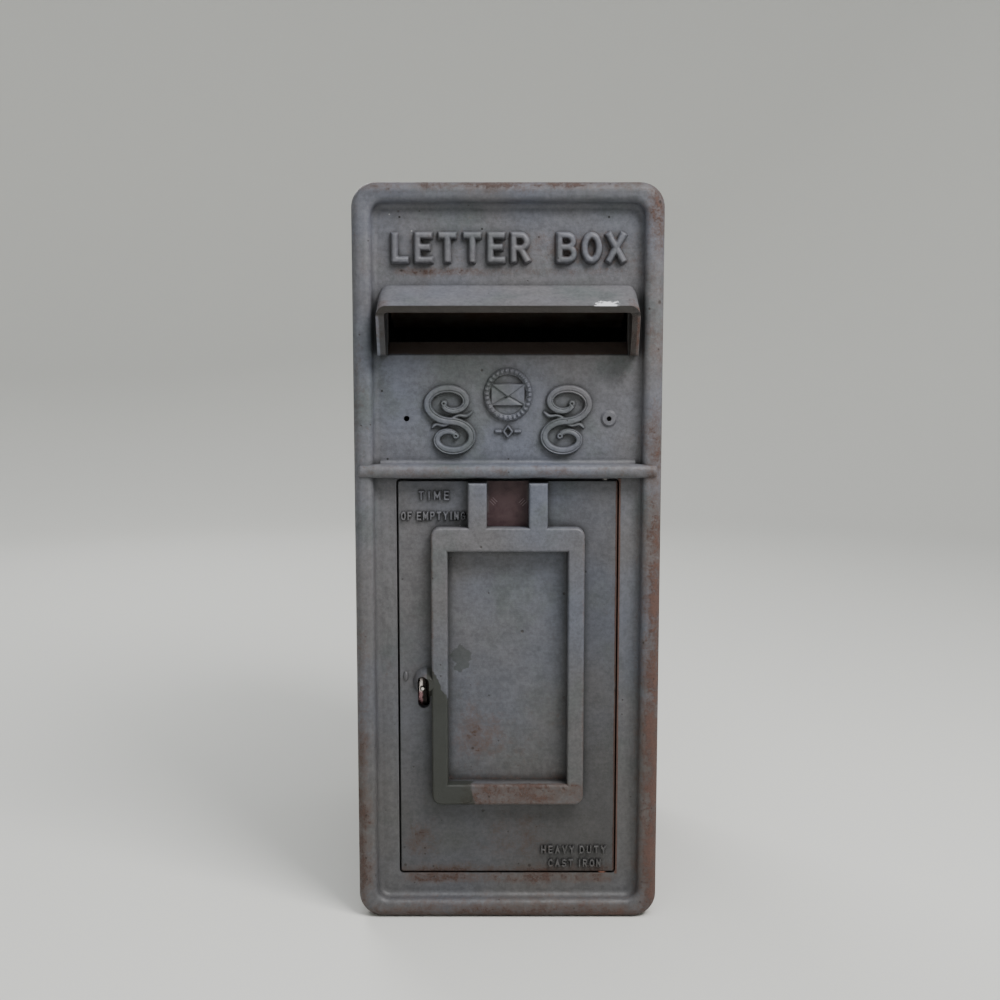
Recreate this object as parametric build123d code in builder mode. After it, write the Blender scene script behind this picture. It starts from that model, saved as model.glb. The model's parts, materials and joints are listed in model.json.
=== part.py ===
from build123d import *
import os

# A small cast-iron wall letter box. X is to the right seen from the front, Z is up, and the front
# faces -Y. The origin is the middle of the box's footprint, at its base. "Depth" is measured
# backwards from the flat front face, so what stands proud of that face has a negative depth.

# Overall size
overall_width = 252.0
overall_height = 613.0
overall_depth = 355.0

# Shared small allowances
merge = 1.0
near = 0.1
tip_gap = 0.5
screw_clearance = 0.05
running_clearance = 0.05

# Front casting: plate, rim bead and the field inside it
plate_thickness = 10.0
rim_width = 16.0
rim_height = 11.0
rim_corner_radius = 20.0
rim_outer_round = 8.0
rim_inner_round = 5.4
rim_cove_radius = 5.2
field_corner_radius = 10.0

# Letter aperture and the hood over it
header_height = 94.0
aperture_height = 44.0
aperture_side_margin = 28.0
hood_projection = 35.0
hood_rise = 18.0
hood_lip_thickness = 4.9
hood_leg_thickness = 6.5
hood_leg_projection = 20.0
hood_corner_radius = 8.0
hood_root_above_aperture = 12.5
sill_depth = 14.0
sill_rise = 11.0
sill_thickness = 2.0

# Transom bead between the aperture panel and the door
panel_height = 240.5
transom_projection = 14.0
transom_height = 11.0
transom_above_opening = 1.7
transom_end_margin = 4.0
transom_cove = 3.6

# Fixing holes in the aperture panel
panel_hole_margin = 43.0
panel_hole_drop = 51.5
panel_hole_radius = 2.3
blind_boss_radius = 7.0
blind_boss_height = 1.8
blind_boss_taper = 45.0
blind_hole_radius = 2.0
blind_hole_depth = 6.0

# Door and its gap
door_bottom = 37.1
door_thickness = 9.0
door_side_margin = 35.3
door_gap = 1.3
door_corner_radius = 1.8
door_edge_round = 1.0
door_back_clearance = 0.3
door_ledge_width = 5.0
door_ledge_thickness = 4.7
door_ledge_wall = 3.0
ledge_lock_gap = 4.0

# Pivot hinge inside the door's right edge
pivot_inset = 10.0
pivot_radius = 2.5
pivot_length_in_door = 20.0
pivot_length_in_casting = 13.5
pivot_end_gap = 1.0
sweep_clearance = 1.0
pivot_boss_width = 14.0
pivot_boss_height = 30.0
pivot_boss_depth = 2.6
washer_radius = 4.4
keeper_width = 22.0
keeper_height = 17.0
keeper_thickness = 3.0
keeper_screw_offset = 7.0

# Notice frame cast on the door, and what it holds
frame_side_margin = 27.4
frame_bottom_margin = 62.6
frame_top_margin = 38.1
frame_bar_width = 13.6
frame_top_bar = 19.9
frame_bottom_bar = 17.4
frame_height = 12.0
frame_corner_radius = 7.5
frame_round = 2.2
notice_depth = 3.0
notice_lap = 5.0
notice_thickness = 2.0
notice_clearance = 0.2
backing_thickness = 2.0
backing_lap = 2.3
backing_end_lap = 12.0
backing_corner_radius = 3.0
stud_radius = 2.5
stud_inset_x = 5.0
stud_inset_z = 6.0
stud_depth_in_door = 7.0
stud_end = 2.0
nut_width = 4.6
nut_height = 4.0

# Posts on the door and the tablet between them
post_width = 15.6
post_gap = 34.4
post_top_margin = 1.1
post_root = 4.0
tablet_depth = 0.6
tablet_thickness = 2.6
tablet_lap = 2.8
tablet_clearance = 0.2
tablet_top_margin = 0.5

# Keyhole, its swelling on the frame bar and its drop cover
keyhole_inset = 20.3
keyhole_width = 10.0
keyhole_height = 29.0
keyhole_below_middle = 10.3
swelling_radius = 13.0
swelling_height = 12.0
swelling_taper = 33.0
swelling_shift = 3.9
swelling_lift = 8.5
cover_thickness = 1.5
cover_width = 8.4
cover_top = 11.0
cover_bottom = 16.0
cover_shift = -1.6
cover_gap = 1.3
cover_edge_round = 0.6
cover_bore_radius = 1.55
rivet_radius = 1.5
rivet_head_radius = 2.2
rivet_head_height = 1.6
rivet_head_round = 1.2
rivet_play = 0.3

# Lock behind the keyhole
lock_standoff = 4.0
lock_height = 62.0
lock_wall = 2.0
lock_spare_depth = 0.5
lock_corner_radius = 3.0
lock_edge_margin = 1.7
lock_screw_radius = 2.0
lock_screw_inset = 4.2
lock_screw_head = 3.4
lock_post_radius = 4.0
lock_post_clearance = 0.8
key_below_middle = 7.9
key_barrel_radius = 3.2
key_bit_width = 2.6
key_bit_length = 6.1
key_pin_radius = 1.1
bolt_height = 18.0
bolt_thickness = 5.0
bolt_head_thickness = 8.0
bolt_head_length = 6.5
bolt_above_middle = 4.5
bolt_throw = 9.0
bolt_clearance = 0.3
bolt_proud = 0.4
bolt_gap = 3.0
bolt_tail = 2.0
guide_pin_radius = 2.0
guide_offset = 7.9
guide_spare = 1.0
talon_width = 9.0
talon_height = 5.0
stump_radius = 1.8
stump_offset = 1.9
stump_clearance = 0.3
lever_count = 3
lever_thickness = 0.9
lever_pitch = 1.1
lever_gap = 0.2
lever_head_gap = 0.7
lever_height = 16.0
lever_end = 2.8
lever_bore_clearance = 0.1
lever_belly_radius = 4.0
lever_belly_step = 1.0
lever_belly_drop = 2.0
lever_pivot_radius = 2.0
lever_pivot_gap = 2.0
lever_pivot_margin = 5.0
spring_thickness = 0.5
spring_inset = 6.0
spring_end_inset = 2.0
spring_rise = 7.0

# Keep on the left stile
keep_height = 46.0
keep_wall = 2.6
keep_side_clearance = 1.0
keep_screw_inset = 6.0
pocket_spare = 1.0
pocket_clearance = 0.9

# Body shell behind the front casting
body_inset = 12.0
body_wall = 6.0
body_corner_radius = 14.0
body_lug_clearance = 1.0
body_lug_depth = 12.0
body_lug_height = 22.0
lug_bottom = 70.0
lug_drop = 38.0
front_bolt_radius = 3.0
front_bolt_grip = 7.5
front_bolt_head = 5.5
front_bolt_head_height = 4.0
bolt_head_clearance = 0.5
wall_hole_radius = 5.5
wall_hole_spacing_x = 120.0
wall_hole_spacing_z = 340.0
drain_radius = 3.0
drain_spacing = 60.0
drain_from_back = 24.0

# Chute behind the aperture and the wire guard behind the door
sheet_thickness = 1.6
sheet_mitre = 1.3
sheet_overlap = 1.5
sheet_gap = 0.5
chute_flange = 22.0
chute_run = 62.0
chute_fall = 34.0
baffle_run = 70.0
baffle_fall = 26.0
baffle_gap = 6.0
chute_screw_inset = 20.0
chute_screw_drop = 12.0
baffle_screw_rise = 16.0
guard_height = 118.0
guard_depth = 34.0
guard_side_margin = 10.0
guard_bar_radius = 3.0
guard_wire_radius = 1.8
guard_bar_count = 3
guard_upright_count = 7
guard_foot_width = 24.0
guard_foot_thickness = 3.0
guard_wire_end = 6.0
guard_weld = 0.5

# Small screws
screw_radius = 2.0
screw_head_radius = 3.8
screw_head_height = 2.4
screw_slot_width = 1.0
screw_slot_depth = 1.0
screw_grip = 6.0

# Places that follow from the sizes above
face_y = hood_projection - overall_depth / 2
body_front = plate_thickness
body_back = overall_depth - hood_projection
body_width = overall_width - 2 * body_inset
body_height = overall_height - body_inset
body_inner_half = body_width / 2 - body_wall
field_half = overall_width / 2 - rim_width - rim_cove_radius

door_width = overall_width - 2 * door_side_margin
door_height = overall_height - door_bottom - panel_height
door_half = door_width / 2
door_top = door_bottom + door_height
door_middle = door_bottom + door_height / 2
opening_half = door_half + door_gap
opening_bottom = door_bottom - door_gap
opening_top = door_top + door_gap
opening_height = opening_top - opening_bottom

pivot_x = door_half - pivot_inset
pivot_depth = door_thickness / 2
pivot_hole_radius = pivot_radius + running_clearance
sweep_radius = (pivot_inset**2 + pivot_depth**2) ** 0.5
ledge_front = door_thickness + door_back_clearance
ledge_back = ledge_front + door_ledge_thickness
ledge_left = -opening_half - door_ledge_wall
ledge_end = pivot_x - sweep_radius - sweep_clearance

aperture_top = overall_height - header_height
aperture_bottom = aperture_top - aperture_height
aperture_half = overall_width / 2 - aperture_side_margin
hood_half = aperture_half + hood_leg_thickness
hood_root = aperture_top + hood_root_above_aperture
lip_top = hood_root - hood_rise
lip_bottom = lip_top - hood_lip_thickness
transom_bottom = opening_top + transom_above_opening
panel_hole_x = overall_width / 2 - panel_hole_margin
panel_hole_z = aperture_bottom - panel_hole_drop

frame_half = door_half - frame_side_margin
frame_bottom = door_bottom + frame_bottom_margin
frame_top = door_top - frame_top_margin
notice_half = frame_half - frame_bar_width
notice_bottom = frame_bottom + frame_bottom_bar
notice_top = frame_top - frame_top_bar
post_x = (post_gap + post_width) / 2
post_top = door_top - post_top_margin
post_z = (frame_top - post_root + post_top) / 2
backing_front = door_thickness
backing_half = notice_half + notice_lap + backing_lap
backing_bottom = notice_bottom - notice_lap - backing_end_lap
backing_top = notice_top + notice_lap + backing_end_lap
stud_points = [
    (side * (notice_half - stud_inset_x), z)
    for side in (-1, 1)
    for z in (backing_bottom + stud_inset_z, backing_top - stud_inset_z)
]

keyhole_x = -door_half + keyhole_inset
lock_middle = door_middle - keyhole_below_middle
ledge_gap_height = lock_height + 2 * ledge_lock_gap
lock_front = door_thickness + lock_standoff
lock_inside = lock_front + lock_wall
lock_left = -door_half + lock_edge_margin
key_z = lock_middle - key_below_middle
cover_x = keyhole_x + cover_shift
cover_front = lock_front - cover_gap - cover_thickness
bolt_z = lock_middle + bolt_above_middle
bolt_front = lock_inside + bolt_gap
bolt_head_front = bolt_front - (bolt_head_thickness - bolt_thickness) / 2
bolt_left = lock_left - bolt_proud
guide_x = keyhole_x + guide_offset
guide_slot_length = bolt_throw + 2 * guide_pin_radius + guide_spare
bolt_right = guide_x + bolt_throw / 2 + guide_slot_length / 2 + bolt_tail
bolt_length = bolt_right - bolt_left
stump_x = keyhole_x + stump_offset
levers_front = bolt_front + bolt_thickness + lever_gap
levers_depth = lever_count * lever_pitch
levers_left = bolt_left + bolt_head_length + lever_head_gap
lever_pivot_x = bolt_right + lever_pivot_gap + lever_pivot_radius
levers_right = lever_pivot_x + lever_end
lock_back = levers_front + levers_depth + lock_spare_depth
lock_depth = lock_back - lock_front
lock_right = lever_pivot_x + lever_pivot_margin
lock_width = lock_right - lock_left
lock_x = (lock_left + lock_right) / 2
lock_screw_points = [
    (x, lock_middle + side * (lock_height / 2 - lock_screw_inset))
    for x in (lock_left + lock_screw_inset, -backing_half - lock_post_clearance - lock_post_radius)
    for side in (-1, 1)
]

keep_left = -body_inner_half + keep_side_clearance
keep_right = -opening_half - keep_side_clearance
keep_width = keep_right - keep_left
keep_x = (keep_left + keep_right) / 2
pocket_front = bolt_head_front - pocket_clearance
pocket_back = bolt_head_front + bolt_head_thickness + pocket_clearance
keep_back = pocket_back + keep_wall
keep_depth = keep_back - plate_thickness
keep_screw_points = [(keep_x, bolt_z + side * (keep_height / 2 - keep_screw_inset)) for side in (-1, 1)]

lug_inner = opening_half + door_ledge_wall + body_lug_clearance
body_lug_width = body_inner_half - lug_inner
lug_centre_x = (lug_inner + body_inner_half) / 2
lug_x = body_inner_half - front_bolt_head - bolt_head_clearance
lug_heights = [lug_bottom, overall_height / 2, overall_height - lug_drop]
lug_centres = [(side * lug_centre_x, z) for side in (-1, 1) for z in lug_heights]
lug_points = [(side * lug_x, z) for side in (-1, 1) for z in lug_heights]
keeper_z = opening_top + keeper_height / 2
keeper_screw_points = [(pivot_x + side * keeper_screw_offset, keeper_z) for side in (-1, 1)]
chute_screw_x = aperture_half - chute_screw_inset
chute_screw_points = [(side * chute_screw_x, aperture_bottom - chute_screw_drop) for side in (-1, 0, 1)]
baffle_screw_points = [(side * chute_screw_x, aperture_top + baffle_screw_rise) for side in (-1, 1)]
sheet_half = aperture_half + sheet_overlap
guard_screw_x = body_inner_half - guard_side_margin - guard_foot_width / 2


def upright(depth):
    """Upright plane at a depth behind the front face, with its normal towards the viewer."""
    return Plane.XZ.offset(-(face_y + depth))


def at(depth, z):
    """Point of a side profile, on Plane.YZ."""
    return (face_y + depth, z)


def finish(piece, name):
    """Names a finished piece and writes its file."""
    piece.part.label = name
    export_step(piece.part, f"parts/{name}.step")


def hood_shape():
    """Sloping hood with two legs, hollow underneath, open towards the aperture."""
    slope = Axis((0, 0, 0), (0, hood_projection, hood_rise))
    slope_rate = hood_rise / hood_projection
    with BuildPart() as hood:
        with BuildSketch(Plane.YZ):
            with BuildLine():
                Polyline(
                    at(merge, aperture_bottom),
                    at(-hood_leg_projection, aperture_bottom),
                    at(-hood_projection, lip_bottom),
                    at(-hood_projection, lip_top),
                    at(0, hood_root),
                    at(merge, hood_root),
                    close=True,
                )
            make_face()
        extrude(amount=hood_half, both=True)
        fillet(hood.edges().filter_by(slope), hood_corner_radius)
        with BuildSketch(Plane.YZ):
            with BuildLine():
                Polyline(
                    at(2 * merge, aperture_bottom - merge),
                    at(-hood_projection - merge, aperture_bottom - merge),
                    at(-hood_projection - merge, lip_bottom - slope_rate * merge),
                    at(2 * merge, lip_bottom + hood_rise + 2 * slope_rate * merge),
                    close=True,
                )
            make_face()
        extrude(amount=aperture_half, both=True, mode=Mode.SUBTRACT)
        inner = hood.edges().filter_by(slope).filter_by(lambda e: abs(e.center().X) < aperture_half + near)
        fillet(inner, hood_leg_thickness / 2)
        heel = hood.edges().filter_by(Axis.X).filter_by(
            lambda e: abs(e.center().Y - face_y + hood_leg_projection) < near
        )
        fillet(heel, hood_leg_thickness / 2)
    return hood.part


def transom_shape():
    """Half-round bead across the whole front, with a small cove above it between the rims."""
    nose = transom_projection - transom_height / 2
    top = transom_bottom + transom_height
    cove_middle = transom_cove * (1 - 0.5**0.5)
    with BuildPart() as transom:
        with BuildSketch(Plane.YZ):
            with BuildLine():
                Polyline(
                    at(-nose, top),
                    at(merge, top),
                    at(merge, transom_bottom),
                    at(-nose, transom_bottom),
                )
                ThreePointArc(
                    at(-nose, transom_bottom),
                    at(-transom_projection, transom_bottom + transom_height / 2),
                    at(-nose, top),
                )
            make_face()
        extrude(amount=overall_width / 2 - transom_end_margin, both=True)
        ends = transom.faces().filter_by(Axis.X).edges().filter_by(lambda e: e.center().Y < face_y - near)
        fillet(ends, rim_height / 4)
        with BuildSketch(Plane.YZ):
            with BuildLine():
                Polyline(
                    at(-transom_cove, top),
                    at(merge, top - merge),
                    at(merge, top + transom_cove),
                    at(0, top + transom_cove),
                )
                ThreePointArc(
                    at(0, top + transom_cove),
                    at(-cove_middle, top + cove_middle),
                    at(-transom_cove, top),
                )
            make_face()
        extrude(amount=field_half, both=True)
    return transom.part


def front_casting():
    """Front plate with rim bead, hooded aperture, transom bead, door opening and its ledge."""
    hood = hood_shape()
    transom = transom_shape()
    middle = (0, overall_height / 2)
    with BuildPart() as casting:
        with BuildSketch(upright(plate_thickness)):
            with Locations(middle):
                RectangleRounded(overall_width, overall_height, rim_corner_radius)
        extrude(amount=plate_thickness + rim_height)
        with BuildSketch(upright(0)):
            with Locations(middle):
                RectangleRounded(
                    overall_width - 2 * rim_width, overall_height - 2 * rim_width, field_corner_radius
                )
        extrude(amount=rim_height, mode=Mode.SUBTRACT)
        crown = casting.faces().sort_by(Axis.Y)[0]
        fillet(crown.outer_wire().edges(), rim_outer_round)
        crown = casting.faces().filter_by(Axis.Y).sort_by(Axis.Y)[0]
        fillet(crown.inner_wires()[0].edges(), rim_inner_round)
        field = casting.faces().filter_by(Axis.Y).sort_by(Axis.Y)[1]
        fillet(field.edges(), rim_cove_radius)
        # Aperture with its rising sill, under the hood
        with BuildSketch(upright(plate_thickness)):
            with Locations((0, (aperture_bottom + aperture_top) / 2)):
                Rectangle(2 * aperture_half, aperture_height)
        extrude(amount=plate_thickness, mode=Mode.SUBTRACT)
        with BuildSketch(Plane.YZ):
            with BuildLine():
                Polyline(
                    at(0, aperture_bottom),
                    at(sill_depth, aperture_bottom + sill_rise),
                    at(sill_depth + sill_thickness, aperture_bottom + sill_rise),
                    at(sill_depth + sill_thickness, aperture_bottom - sill_thickness),
                    at(0, aperture_bottom - sill_thickness),
                    close=True,
                )
            make_face()
        extrude(amount=aperture_half, both=True)
        add(hood)
        add(transom)
        # Door opening and the ledge that the door closes on, clear of the hinge's sweep
        with BuildSketch(upright(plate_thickness)):
            with Locations((0, door_middle)):
                RectangleRounded(2 * opening_half, opening_height, door_corner_radius + door_gap)
        extrude(amount=plate_thickness, mode=Mode.SUBTRACT)
        for inset, front in ((0, plate_thickness), (door_ledge_width, ledge_front)):
            with BuildSketch(upright(ledge_back)):
                with Locations(((ledge_left + ledge_end) / 2, door_middle)):
                    Rectangle(ledge_end - ledge_left, opening_height + 2 * door_ledge_wall)
                inner_left = inset - opening_half
                with Locations(((inner_left + ledge_end + merge) / 2, door_middle)):
                    Rectangle(
                        ledge_end + merge - inner_left, opening_height - 2 * inset, mode=Mode.SUBTRACT
                    )
                with Locations((-opening_half, lock_middle)):
                    Rectangle(4 * door_ledge_width, ledge_gap_height, mode=Mode.SUBTRACT)
            extrude(amount=ledge_back - front)
        # Pivot seats: a slot open to the back above the door, a blind socket below it
        seat_height = pivot_length_in_casting + pivot_end_gap
        with BuildSketch(Plane.XY.offset(opening_top)):
            with Locations((pivot_x, face_y + pivot_depth)):
                Circle(pivot_hole_radius)
            with Locations((pivot_x, face_y + (pivot_depth + plate_thickness) / 2)):
                Rectangle(2 * pivot_hole_radius, plate_thickness - pivot_depth)
        extrude(amount=seat_height, mode=Mode.SUBTRACT)
        with BuildSketch(Plane.XY.offset(opening_bottom)):
            with Locations((pivot_x, face_y + pivot_depth)):
                Circle(pivot_hole_radius)
        extrude(amount=-seat_height, mode=Mode.SUBTRACT)
        # Plain hole on the left and domed boss with a blind hole on the right
        with BuildSketch(upright(plate_thickness)):
            with Locations((-panel_hole_x, panel_hole_z)):
                Circle(panel_hole_radius)
        extrude(amount=plate_thickness, mode=Mode.SUBTRACT)
        with BuildSketch(upright(0)):
            with Locations((panel_hole_x, panel_hole_z)):
                Circle(blind_boss_radius)
        extrude(amount=blind_boss_height, taper=blind_boss_taper)
        with BuildSketch(upright(blind_hole_depth)):
            with Locations((panel_hole_x, panel_hole_z)):
                Circle(blind_hole_radius)
        extrude(amount=blind_hole_depth + blind_boss_height, mode=Mode.SUBTRACT)
        # Tapped holes from behind
        with BuildSketch(upright(plate_thickness)):
            with Locations(*lug_points):
                Circle(front_bolt_radius + screw_clearance)
        extrude(amount=front_bolt_grip, mode=Mode.SUBTRACT)
        with BuildSketch(upright(plate_thickness)):
            with Locations(
                *keep_screw_points, *keeper_screw_points, *chute_screw_points, *baffle_screw_points
            ):
                Circle(screw_radius + screw_clearance)
        extrude(amount=screw_grip + tip_gap, mode=Mode.SUBTRACT)
    finish(casting, "front_casting")


def body_shell():
    """Cast box behind the front, open at the front, with bolt lugs, wall holes and drains."""
    with BuildPart() as shell:
        with BuildSketch(upright(body_back)):
            with Locations((0, body_height / 2)):
                RectangleRounded(body_width, body_height, body_corner_radius)
        extrude(amount=body_back - body_front)
        with BuildSketch(upright(body_back - body_wall)):
            with Locations((0, body_height / 2)):
                RectangleRounded(
                    body_width - 2 * body_wall, body_height - 2 * body_wall, body_corner_radius - body_wall
                )
        extrude(amount=body_back - body_wall - body_front, mode=Mode.SUBTRACT)
        with BuildSketch(upright(body_front + body_lug_depth)):
            with Locations(*lug_centres):
                Rectangle(body_lug_width, body_lug_height)
        extrude(amount=body_lug_depth)
        with BuildSketch(upright(body_front + body_lug_depth)):
            with Locations(*lug_points):
                Circle(front_bolt_radius + screw_clearance)
        extrude(amount=body_lug_depth, mode=Mode.SUBTRACT)
        with BuildSketch(upright(body_back)):
            with Locations((0, body_height / 2)):
                with GridLocations(wall_hole_spacing_x, wall_hole_spacing_z, 2, 2):
                    Circle(wall_hole_radius)
        extrude(amount=body_wall, mode=Mode.SUBTRACT)
        with BuildSketch(Plane.XY):
            with Locations((0, face_y + body_back - drain_from_back)):
                with GridLocations(drain_spacing, 1, 3, 1):
                    Circle(drain_radius)
            with Locations((0, face_y + body_front + guard_depth)):
                with GridLocations(2 * guard_screw_x, 1, 2, 1):
                    Circle(screw_radius + screw_clearance)
        extrude(amount=body_wall, mode=Mode.SUBTRACT)
    finish(shell, "body_shell")


def fixings(name, points, seat_depth, radius, length, head_radius, head_height, sides=0):
    """Identical screws along the depth, their heads behind seat_depth: hexagons or slotted rounds."""
    with BuildPart() as screws:
        with BuildSketch(upright(seat_depth)):
            with Locations(*points):
                Circle(radius)
        extrude(amount=length)
        with BuildSketch(upright(seat_depth + head_height)):
            with Locations(*points):
                if sides:
                    RegularPolygon(head_radius, sides)
                else:
                    Circle(head_radius)
        extrude(amount=head_height)
        if not sides:
            with BuildSketch(upright(seat_depth + head_height)):
                with Locations(*points):
                    Rectangle(3 * head_radius, screw_slot_width)
            extrude(amount=screw_slot_depth, mode=Mode.SUBTRACT)
    finish(screws, name)


def hinge_pins():
    """Upper and lower pivot pins, fast in the door and running in the casting."""
    for name, z, up in (("upper_hinge_pin", door_top, 1), ("lower_hinge_pin", door_bottom, -1)):
        with BuildPart() as pin:
            with BuildSketch(Plane.XY.offset(z)):
                with Locations((pivot_x, face_y + pivot_depth)):
                    Circle(pivot_radius)
            extrude(amount=up * (door_gap + pivot_length_in_casting))
            extrude(pin.faces().sort_by(Axis.Z)[0 if up > 0 else -1], amount=pivot_length_in_door)
        finish(pin, name)


def hinge_washer():
    """Thrust washer that carries the door on the casting, round the lower pin."""
    with BuildPart() as washer:
        with BuildSketch(Plane.XY.offset(opening_bottom)):
            with Locations((pivot_x, face_y + pivot_depth)):
                Circle(washer_radius)
                Circle(pivot_hole_radius, mode=Mode.SUBTRACT)
        extrude(amount=door_gap)
    finish(washer, "hinge_washer")


def hinge_keeper():
    """Plate with a hollow-ended nose that closes the upper pivot's slot from behind."""
    with BuildPart() as keeper:
        with BuildSketch(upright(plate_thickness + keeper_thickness)):
            with Locations((pivot_x, keeper_z + pivot_end_gap / 2)):
                Rectangle(keeper_width, keeper_height - pivot_end_gap)
        extrude(amount=keeper_thickness)
        with BuildSketch(Plane.XY.offset(opening_top + pivot_end_gap)):
            with Locations((pivot_x, face_y + (pivot_depth + plate_thickness) / 2)):
                Rectangle(2 * pivot_radius, plate_thickness - pivot_depth)
            with Locations((pivot_x, face_y + pivot_depth)):
                Circle(pivot_hole_radius, mode=Mode.SUBTRACT)
        extrude(amount=pivot_length_in_casting - pivot_end_gap)
        with BuildSketch(upright(plate_thickness + keeper_thickness)):
            with Locations(*keeper_screw_points):
                Circle(screw_radius + screw_clearance)
        extrude(amount=keeper_thickness, mode=Mode.SUBTRACT)
    finish(keeper, "hinge_keeper")


def notice_frame_shape():
    """Raised frame and the two posts above it, one shape with rounded front edges."""
    with BuildPart() as frame:
        with BuildSketch(upright(0)):
            with Locations((0, (frame_bottom + frame_top) / 2)):
                RectangleRounded(2 * frame_half, frame_top - frame_bottom, frame_corner_radius)
            with Locations((-post_x, post_z), (post_x, post_z)):
                Rectangle(post_width, post_top - frame_top + post_root)
            with Locations((0, (notice_bottom + notice_top) / 2)):
                Rectangle(2 * notice_half, notice_top - notice_bottom, mode=Mode.SUBTRACT)
        extrude(amount=frame_height)
        fillet(frame.faces().sort_by(Axis.Y)[0].edges(), frame_round)
    return frame.part


def door():
    """Cast door with the notice frame, posts, keyhole swelling, rebates, bosses and bores."""
    frame = notice_frame_shape()
    with BuildPart() as leaf:
        with BuildSketch(upright(door_thickness)):
            with Locations((0, door_middle)):
                RectangleRounded(door_width, door_height, door_corner_radius)
        extrude(amount=door_thickness)
        fillet(leaf.faces().filter_by(Axis.Y).edges(), door_edge_round)
        add(frame)
        with BuildSketch(upright(0)):
            with Locations((keyhole_x + swelling_shift, lock_middle + swelling_lift)):
                Circle(swelling_radius)
        extrude(amount=swelling_height, taper=swelling_taper)
        # Notice opening and the rebate behind it
        with BuildSketch(upright(notice_depth)):
            with Locations((0, (notice_bottom + notice_top) / 2)):
                Rectangle(2 * notice_half, notice_top - notice_bottom)
        extrude(amount=notice_depth + frame_height, mode=Mode.SUBTRACT)
        with BuildSketch(upright(door_thickness)):
            with Locations((0, (notice_bottom + notice_top) / 2)):
                Rectangle(2 * (notice_half + notice_lap), notice_top - notice_bottom + 2 * notice_lap)
        extrude(amount=door_thickness - notice_depth, mode=Mode.SUBTRACT)
        # Tablet slot between the posts, open at the door's top edge
        slot_z = (frame_top + door_top + merge) / 2
        slot_height = door_top + merge - frame_top
        with BuildSketch(upright(tablet_depth)):
            with Locations((0, slot_z)):
                Rectangle(post_gap, slot_height)
        extrude(amount=tablet_depth, mode=Mode.SUBTRACT)
        with BuildSketch(upright(tablet_depth + tablet_thickness + tablet_clearance)):
            with Locations((0, slot_z)):
                Rectangle(post_gap + 2 * tablet_lap, slot_height)
        extrude(amount=tablet_thickness + tablet_clearance, mode=Mode.SUBTRACT)
        # Keyhole, lock bosses with their screw holes, pivot bosses with their bores
        with BuildSketch(upright(door_thickness)):
            with Locations((keyhole_x, lock_middle)):
                SlotOverall(keyhole_height, keyhole_width, rotation=90)
        extrude(amount=door_thickness + swelling_height + merge, mode=Mode.SUBTRACT)
        with BuildSketch(upright(lock_front)):
            with Locations(*lock_screw_points):
                Circle(lock_post_radius)
        extrude(amount=lock_standoff)
        with BuildSketch(upright(lock_front)):
            with Locations(*lock_screw_points):
                Circle(lock_screw_radius + screw_clearance)
        extrude(amount=lock_standoff + screw_grip, mode=Mode.SUBTRACT)
        boss_z = pivot_boss_height / 2 + door_edge_round
        with BuildSketch(upright(door_thickness + pivot_boss_depth)):
            with Locations((pivot_x, door_top - boss_z), (pivot_x, door_bottom + boss_z)):
                Rectangle(pivot_boss_width, pivot_boss_height)
        extrude(amount=pivot_boss_depth + merge)
        for z, up in ((door_top, 1), (door_bottom, -1)):
            with BuildSketch(Plane.XY.offset(z)):
                with Locations((pivot_x, face_y + pivot_depth)):
                    Circle(pivot_radius + screw_clearance)
            extrude(amount=-up * pivot_length_in_door, mode=Mode.SUBTRACT)
        with BuildSketch(upright(door_thickness)):
            with Locations(*stud_points):
                Circle(stud_radius + screw_clearance)
        extrude(amount=stud_depth_in_door, mode=Mode.SUBTRACT)
    finish(leaf, "door")


def notice_pieces():
    """Blank notice plate, the packing behind it, the backing plate, and its studs and nuts."""
    height = notice_top - notice_bottom + 2 * (notice_lap - notice_clearance)
    width = 2 * (notice_half + notice_lap - notice_clearance)
    middle = (0, (notice_bottom + notice_top) / 2)
    with BuildPart() as plate:
        with BuildSketch(upright(notice_depth + notice_thickness)):
            with Locations(middle):
                Rectangle(width, height)
        extrude(amount=notice_thickness)
    finish(plate, "notice_plate")
    with BuildPart() as packing:
        with BuildSketch(upright(backing_front)):
            with Locations(middle):
                Rectangle(width, height)
        extrude(amount=backing_front - notice_depth - notice_thickness)
    finish(packing, "notice_packing")
    with BuildPart() as backing:
        with BuildSketch(upright(backing_front + backing_thickness)):
            with Locations(middle):
                RectangleRounded(2 * backing_half, backing_top - backing_bottom, backing_corner_radius)
            with Locations(*stud_points):
                Circle(stud_radius + screw_clearance, mode=Mode.SUBTRACT)
        extrude(amount=backing_thickness)
    finish(backing, "backing_plate")
    seat = backing_front + backing_thickness
    with BuildPart() as studs:
        with BuildSketch(upright(seat + nut_height + stud_end)):
            with Locations(*stud_points):
                Circle(stud_radius)
        extrude(amount=nut_height + stud_end + backing_thickness + stud_depth_in_door - tip_gap)
    finish(studs, "backing_studs")
    with BuildPart() as nuts:
        with BuildSketch(upright(seat + nut_height)):
            with Locations(*stud_points):
                RegularPolygon(nut_width, 6)
                Circle(stud_radius + screw_clearance, mode=Mode.SUBTRACT)
        extrude(amount=nut_height)
    finish(nuts, "backing_nuts")


def tablet():
    """Enamelled tablet that drops into the grooves behind the posts."""
    with BuildPart() as tablet_plate:
        with BuildSketch(upright(tablet_depth + tablet_thickness)):
            bottom = frame_top + tablet_clearance
            top = door_top - tablet_top_margin
            with Locations((0, (bottom + top) / 2)):
                Rectangle(post_gap + 2 * (tablet_lap - tablet_clearance), top - bottom)
        extrude(amount=tablet_thickness)
    finish(tablet_plate, "tablet")


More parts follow.
